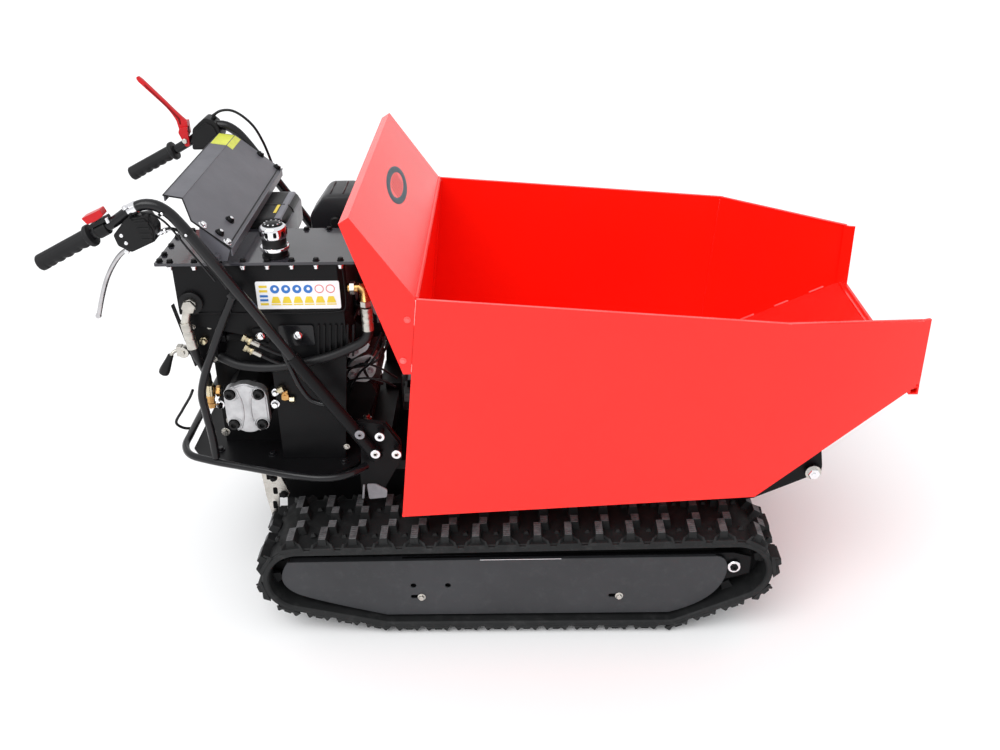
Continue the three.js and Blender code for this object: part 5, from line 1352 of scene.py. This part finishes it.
    bits = Build()
    bits.prism(round_corners([(-302, 482), (-280, 512), (-250, 522), (-234, 512), (-240, 478),
        (-258, 458), (-292, 462)], 8), -124, -90, CAST_ALUMINIUM)
    bits.prism(round_corners([(-300, 518), (-284, 540), (-256, 550), (-246, 544), (-254, 530),
        (-284, 512)], 4), -124, -92, CAST_ALUMINIUM)
    bits.prism(round_corners([(-302, 412), (-286, 450), (-254, 448), (-242, 416), (-272, 400)], 8),
        -104, -90, DARK_CASTING)
    bits.prism(round_corners([(-236, 604), (-212, 600), (-204, 634), (-216, 648), (-238, 636)], 5),
        -112, -88, GREY_CASTING)
    for x, z in ((-266, 498), (-286, 476), (-250, 486), (-222, 620), (-276, 530)):
        bits.bolt((x, -112 if z > 600 else -124, z), OUT_RIGHT, 10, GREY_CASTING, height=5)
    for i in range(7):
        lean = i * 11
        bits.prism([(-334 + lean, 566), (-330 + lean, 566), (-324 + lean, 632), (-328 + lean, 632)],
            -219, -214.2, DARK_CASTING)
    for i in range(5):
        bits.block((-318 + i * 20, -313 + i * 20), (-58, -52), (560, 690), GREY_CASTING)
    bits.lathe([(0, 0), (7, 0), (7, 10), (9, 11), (9, 18), (6, 20), (5, 34), (0, 35)], (-268, -60, 610),
        (0, -1, 0.1), BLACK_PLASTIC, 20)
    for route, thick in (([(-268, -92, 612), (-272, -104, 604), (-290, -110, 570), (-316, -108, 520),
            (-330, -104, 480)], 3.6), ([(-224, -104, 560), (-244, -120, 520), (-262, -124, 492),
            (-250, -120, 462), (-228, -112, 448)], 3.2), ([(-210, -100, 540), (-232, -130, 512),
            (-270, -134, 500), (-304, -132, 494)], 2.6), ([(-196, -130, 470), (-230, -140, 500),
            (-262, -138, 508), (-292, -134, 490), (-300, -132, 470)], 2.2),
            ([(-200, -130, 450), (-226, -138, 470), (-268, -136, 474), (-304, -132, 462)], 2.2),
            ([(-206, -110, 600), (-214, -140, 560), (-240, -150, 520), (-268, -140, 490),
            (-290, -132, 452)], 2.4)):
        bits.sweep(route, thick, CABLE_SKIN, 12, 6)
    bits.rod((-490, 40, 352.4), (-490, 40, 376), 12, ZINC, 6)
    for x, y in ((-490, -86), (-490, 96), (-272, -86), (-272, 110)):
        bits.bolt((x, y, 352.2), UP, 16, ZINC, height=8)
    bits.done("engine_fittings", bevel=1.0, angle=35)


def hoop_of(shape, mid, scale, y):
    return [(mid[0] + (x - mid[0]) * scale, y, mid[1] + (z - mid[1]) * scale) for x, z in shape]


def hoops(shape, mid, *steps):
    """The same outline at several scales and places across, as rings."""
    return [hoop_of(shape, mid, scale, y) for scale, y in steps]


def rear_deck():
    finish_node("deck_tray", BLACK_PAINT, 0.8)
    half = [(-252, 259), (-272, 282), (-298, 298), (-332, 303), (-380, 295), (-480, 264), (-570, 235),
        (-612, 214), (-631, 180), (-633, 130), (-633, 50)]
    route = [(x, y, 345) for x, y in half] + [(x, -y, 345) for x, y in reversed(half)]
    made = Build()
    made.sweep(route, 7.5, GREY_PAINT, 20, 10, up=UP)
    made.done("guard_tube", angle=50, replaces=["rear_guard_loop"])
    hook = Build()
    hook.sweep([(-633, -110, 345), (-650, -120, 352), (-661, -128, 368), (-640, -140, 405),
        (-612, -160, 448), (-600, -172, 470)], 2.9, BLACK_PAINT, 12, 6)
    hook.done("guard_hook", angle=50)
    bits = Build()
    for s in (-1, 1):
        for x, y in ((-300, 230), (-450, 200), (-560, 180)):
            bits.bolt((x, s * y, 334), UP, 13, GREY_PAINT, height=6)
        bits.prism(round_corners([(-256, 294), (-238, 294), (-216, 280), (-218, 262), (-254, 258)], 4),
            s * 246.4, s * 249.4, GREY_CASTING)
        bits.prism([(-264, 292), (-260, 292), (-264, 260), (-268, 260)], s * 246, s * 250, GREY_CASTING)
        bracket = round_corners([(-482, 292), (-448, 290), (-428, 232), (-434, 222), (-450, 236),
            (-456, 170), (-470, 170), (-478, 230)], 3)
        bits.prism(bracket, s * 186, s * 190, ZINC)
        for x, z, long in ((-472, 268, 20), (-462, 232, 16), (-466, 196, 18)):
            bits.prism(round_corners([(x, z), (x + 9, z), (x + 9, z + long), (x, z + long)], 3),
                s * 189.6, s * 191, SHADOW_BLACK)
        for x, z in ((-458, 272), (-463, 180), (-440, 232)):
            bits.bolt((x, s * 190, z), (0, s, 0), 12, DARK_CASTING, height=6)
    bits.done("deck_bolts", bevel=0.5, angle=35)


def chassis():
    finish_node("chassis_frame", BLACK_PAINT, 1.4)
    barrel = Build()
    foot, eye = np.array((-60.0, 0, 135.0)), np.array((520.0, 0, 280.0))
    aim = unit(eye - foot)
    end = np.linalg.norm(eye - foot) - 34
    barrel.lathe([(10, 14), (22, 20), (25, 25), (26, 32), (26, end - 40), (26, end - 14),
        (29, end - 12), (29, end - 1.5), (27.5, end), (16.5, end), (15, end - 2), (15, end - 250),
        (0, end - 250)], foot, aim, BLACK_PAINT, 40)
    for t in (62, end - 58):
        barrel.lathe([(20, -3), (27.6, -1.6), (27.6, 1.6), (20, 3)], foot + aim * t, aim, BLACK_PAINT,
            40)
    barrel.lathe([(9, -18), (18, -18), (19, -17), (19, 17), (18, 18), (9, 18)], foot, (0, 1, 0),
        BLACK_PAINT, 32)
    over = np.cross(aim, (0, 1, 0))
    over = over if over[2] > 0 else -over
    for t in (56, end - 60):
        barrel.lathe([(4, 0), (8, 0), (8, 8), (6.5, 9), (6.5, 15), (4, 15)], foot + aim * t + over * 24,
            over, ZINC, 6)
    barrel.done("ram_barrel", bevel=0.6, angle=35, replaces=["cylinder_barrel"],
        body="barrel")
    rod_piece = Build()
    long = np.linalg.norm(eye - foot)
    rod_piece.lathe([(0, long - 240), (13.6, long - 240), (14, long - 238), (14, long - 20),
        (12, long - 14), (0, long - 14)], foot, aim, CHROME, 36)
    rod_piece.lathe([(0, -20), (15, -20), (16, -19), (16, 19), (15, 20), (0, 20)], eye, (0, 1, 0),
        BLACK_PAINT, 32)
    rod_piece.done("ram_rod", bevel=0.4, angle=35, replaces=["cylinder_rod"], body="rod")


# ------------------------------------------------------------------ assembly

make_camera()
make_studio()
for side in (RIGHT, LEFT):
    track_belt(side)
    track_cover(side)
    track_running_gear(side)
    handlebar(side)
    grip(side)
    strut(side)
brake_side()
stop_switch()
clutch_side()
brake_cable()
clutch_cable()
feed_hose()
return_hose()
pressure_hose()
skip_details()
console()
hydraulic_tank()
pump()
valve()
engine()
rear_deck()
chassis()
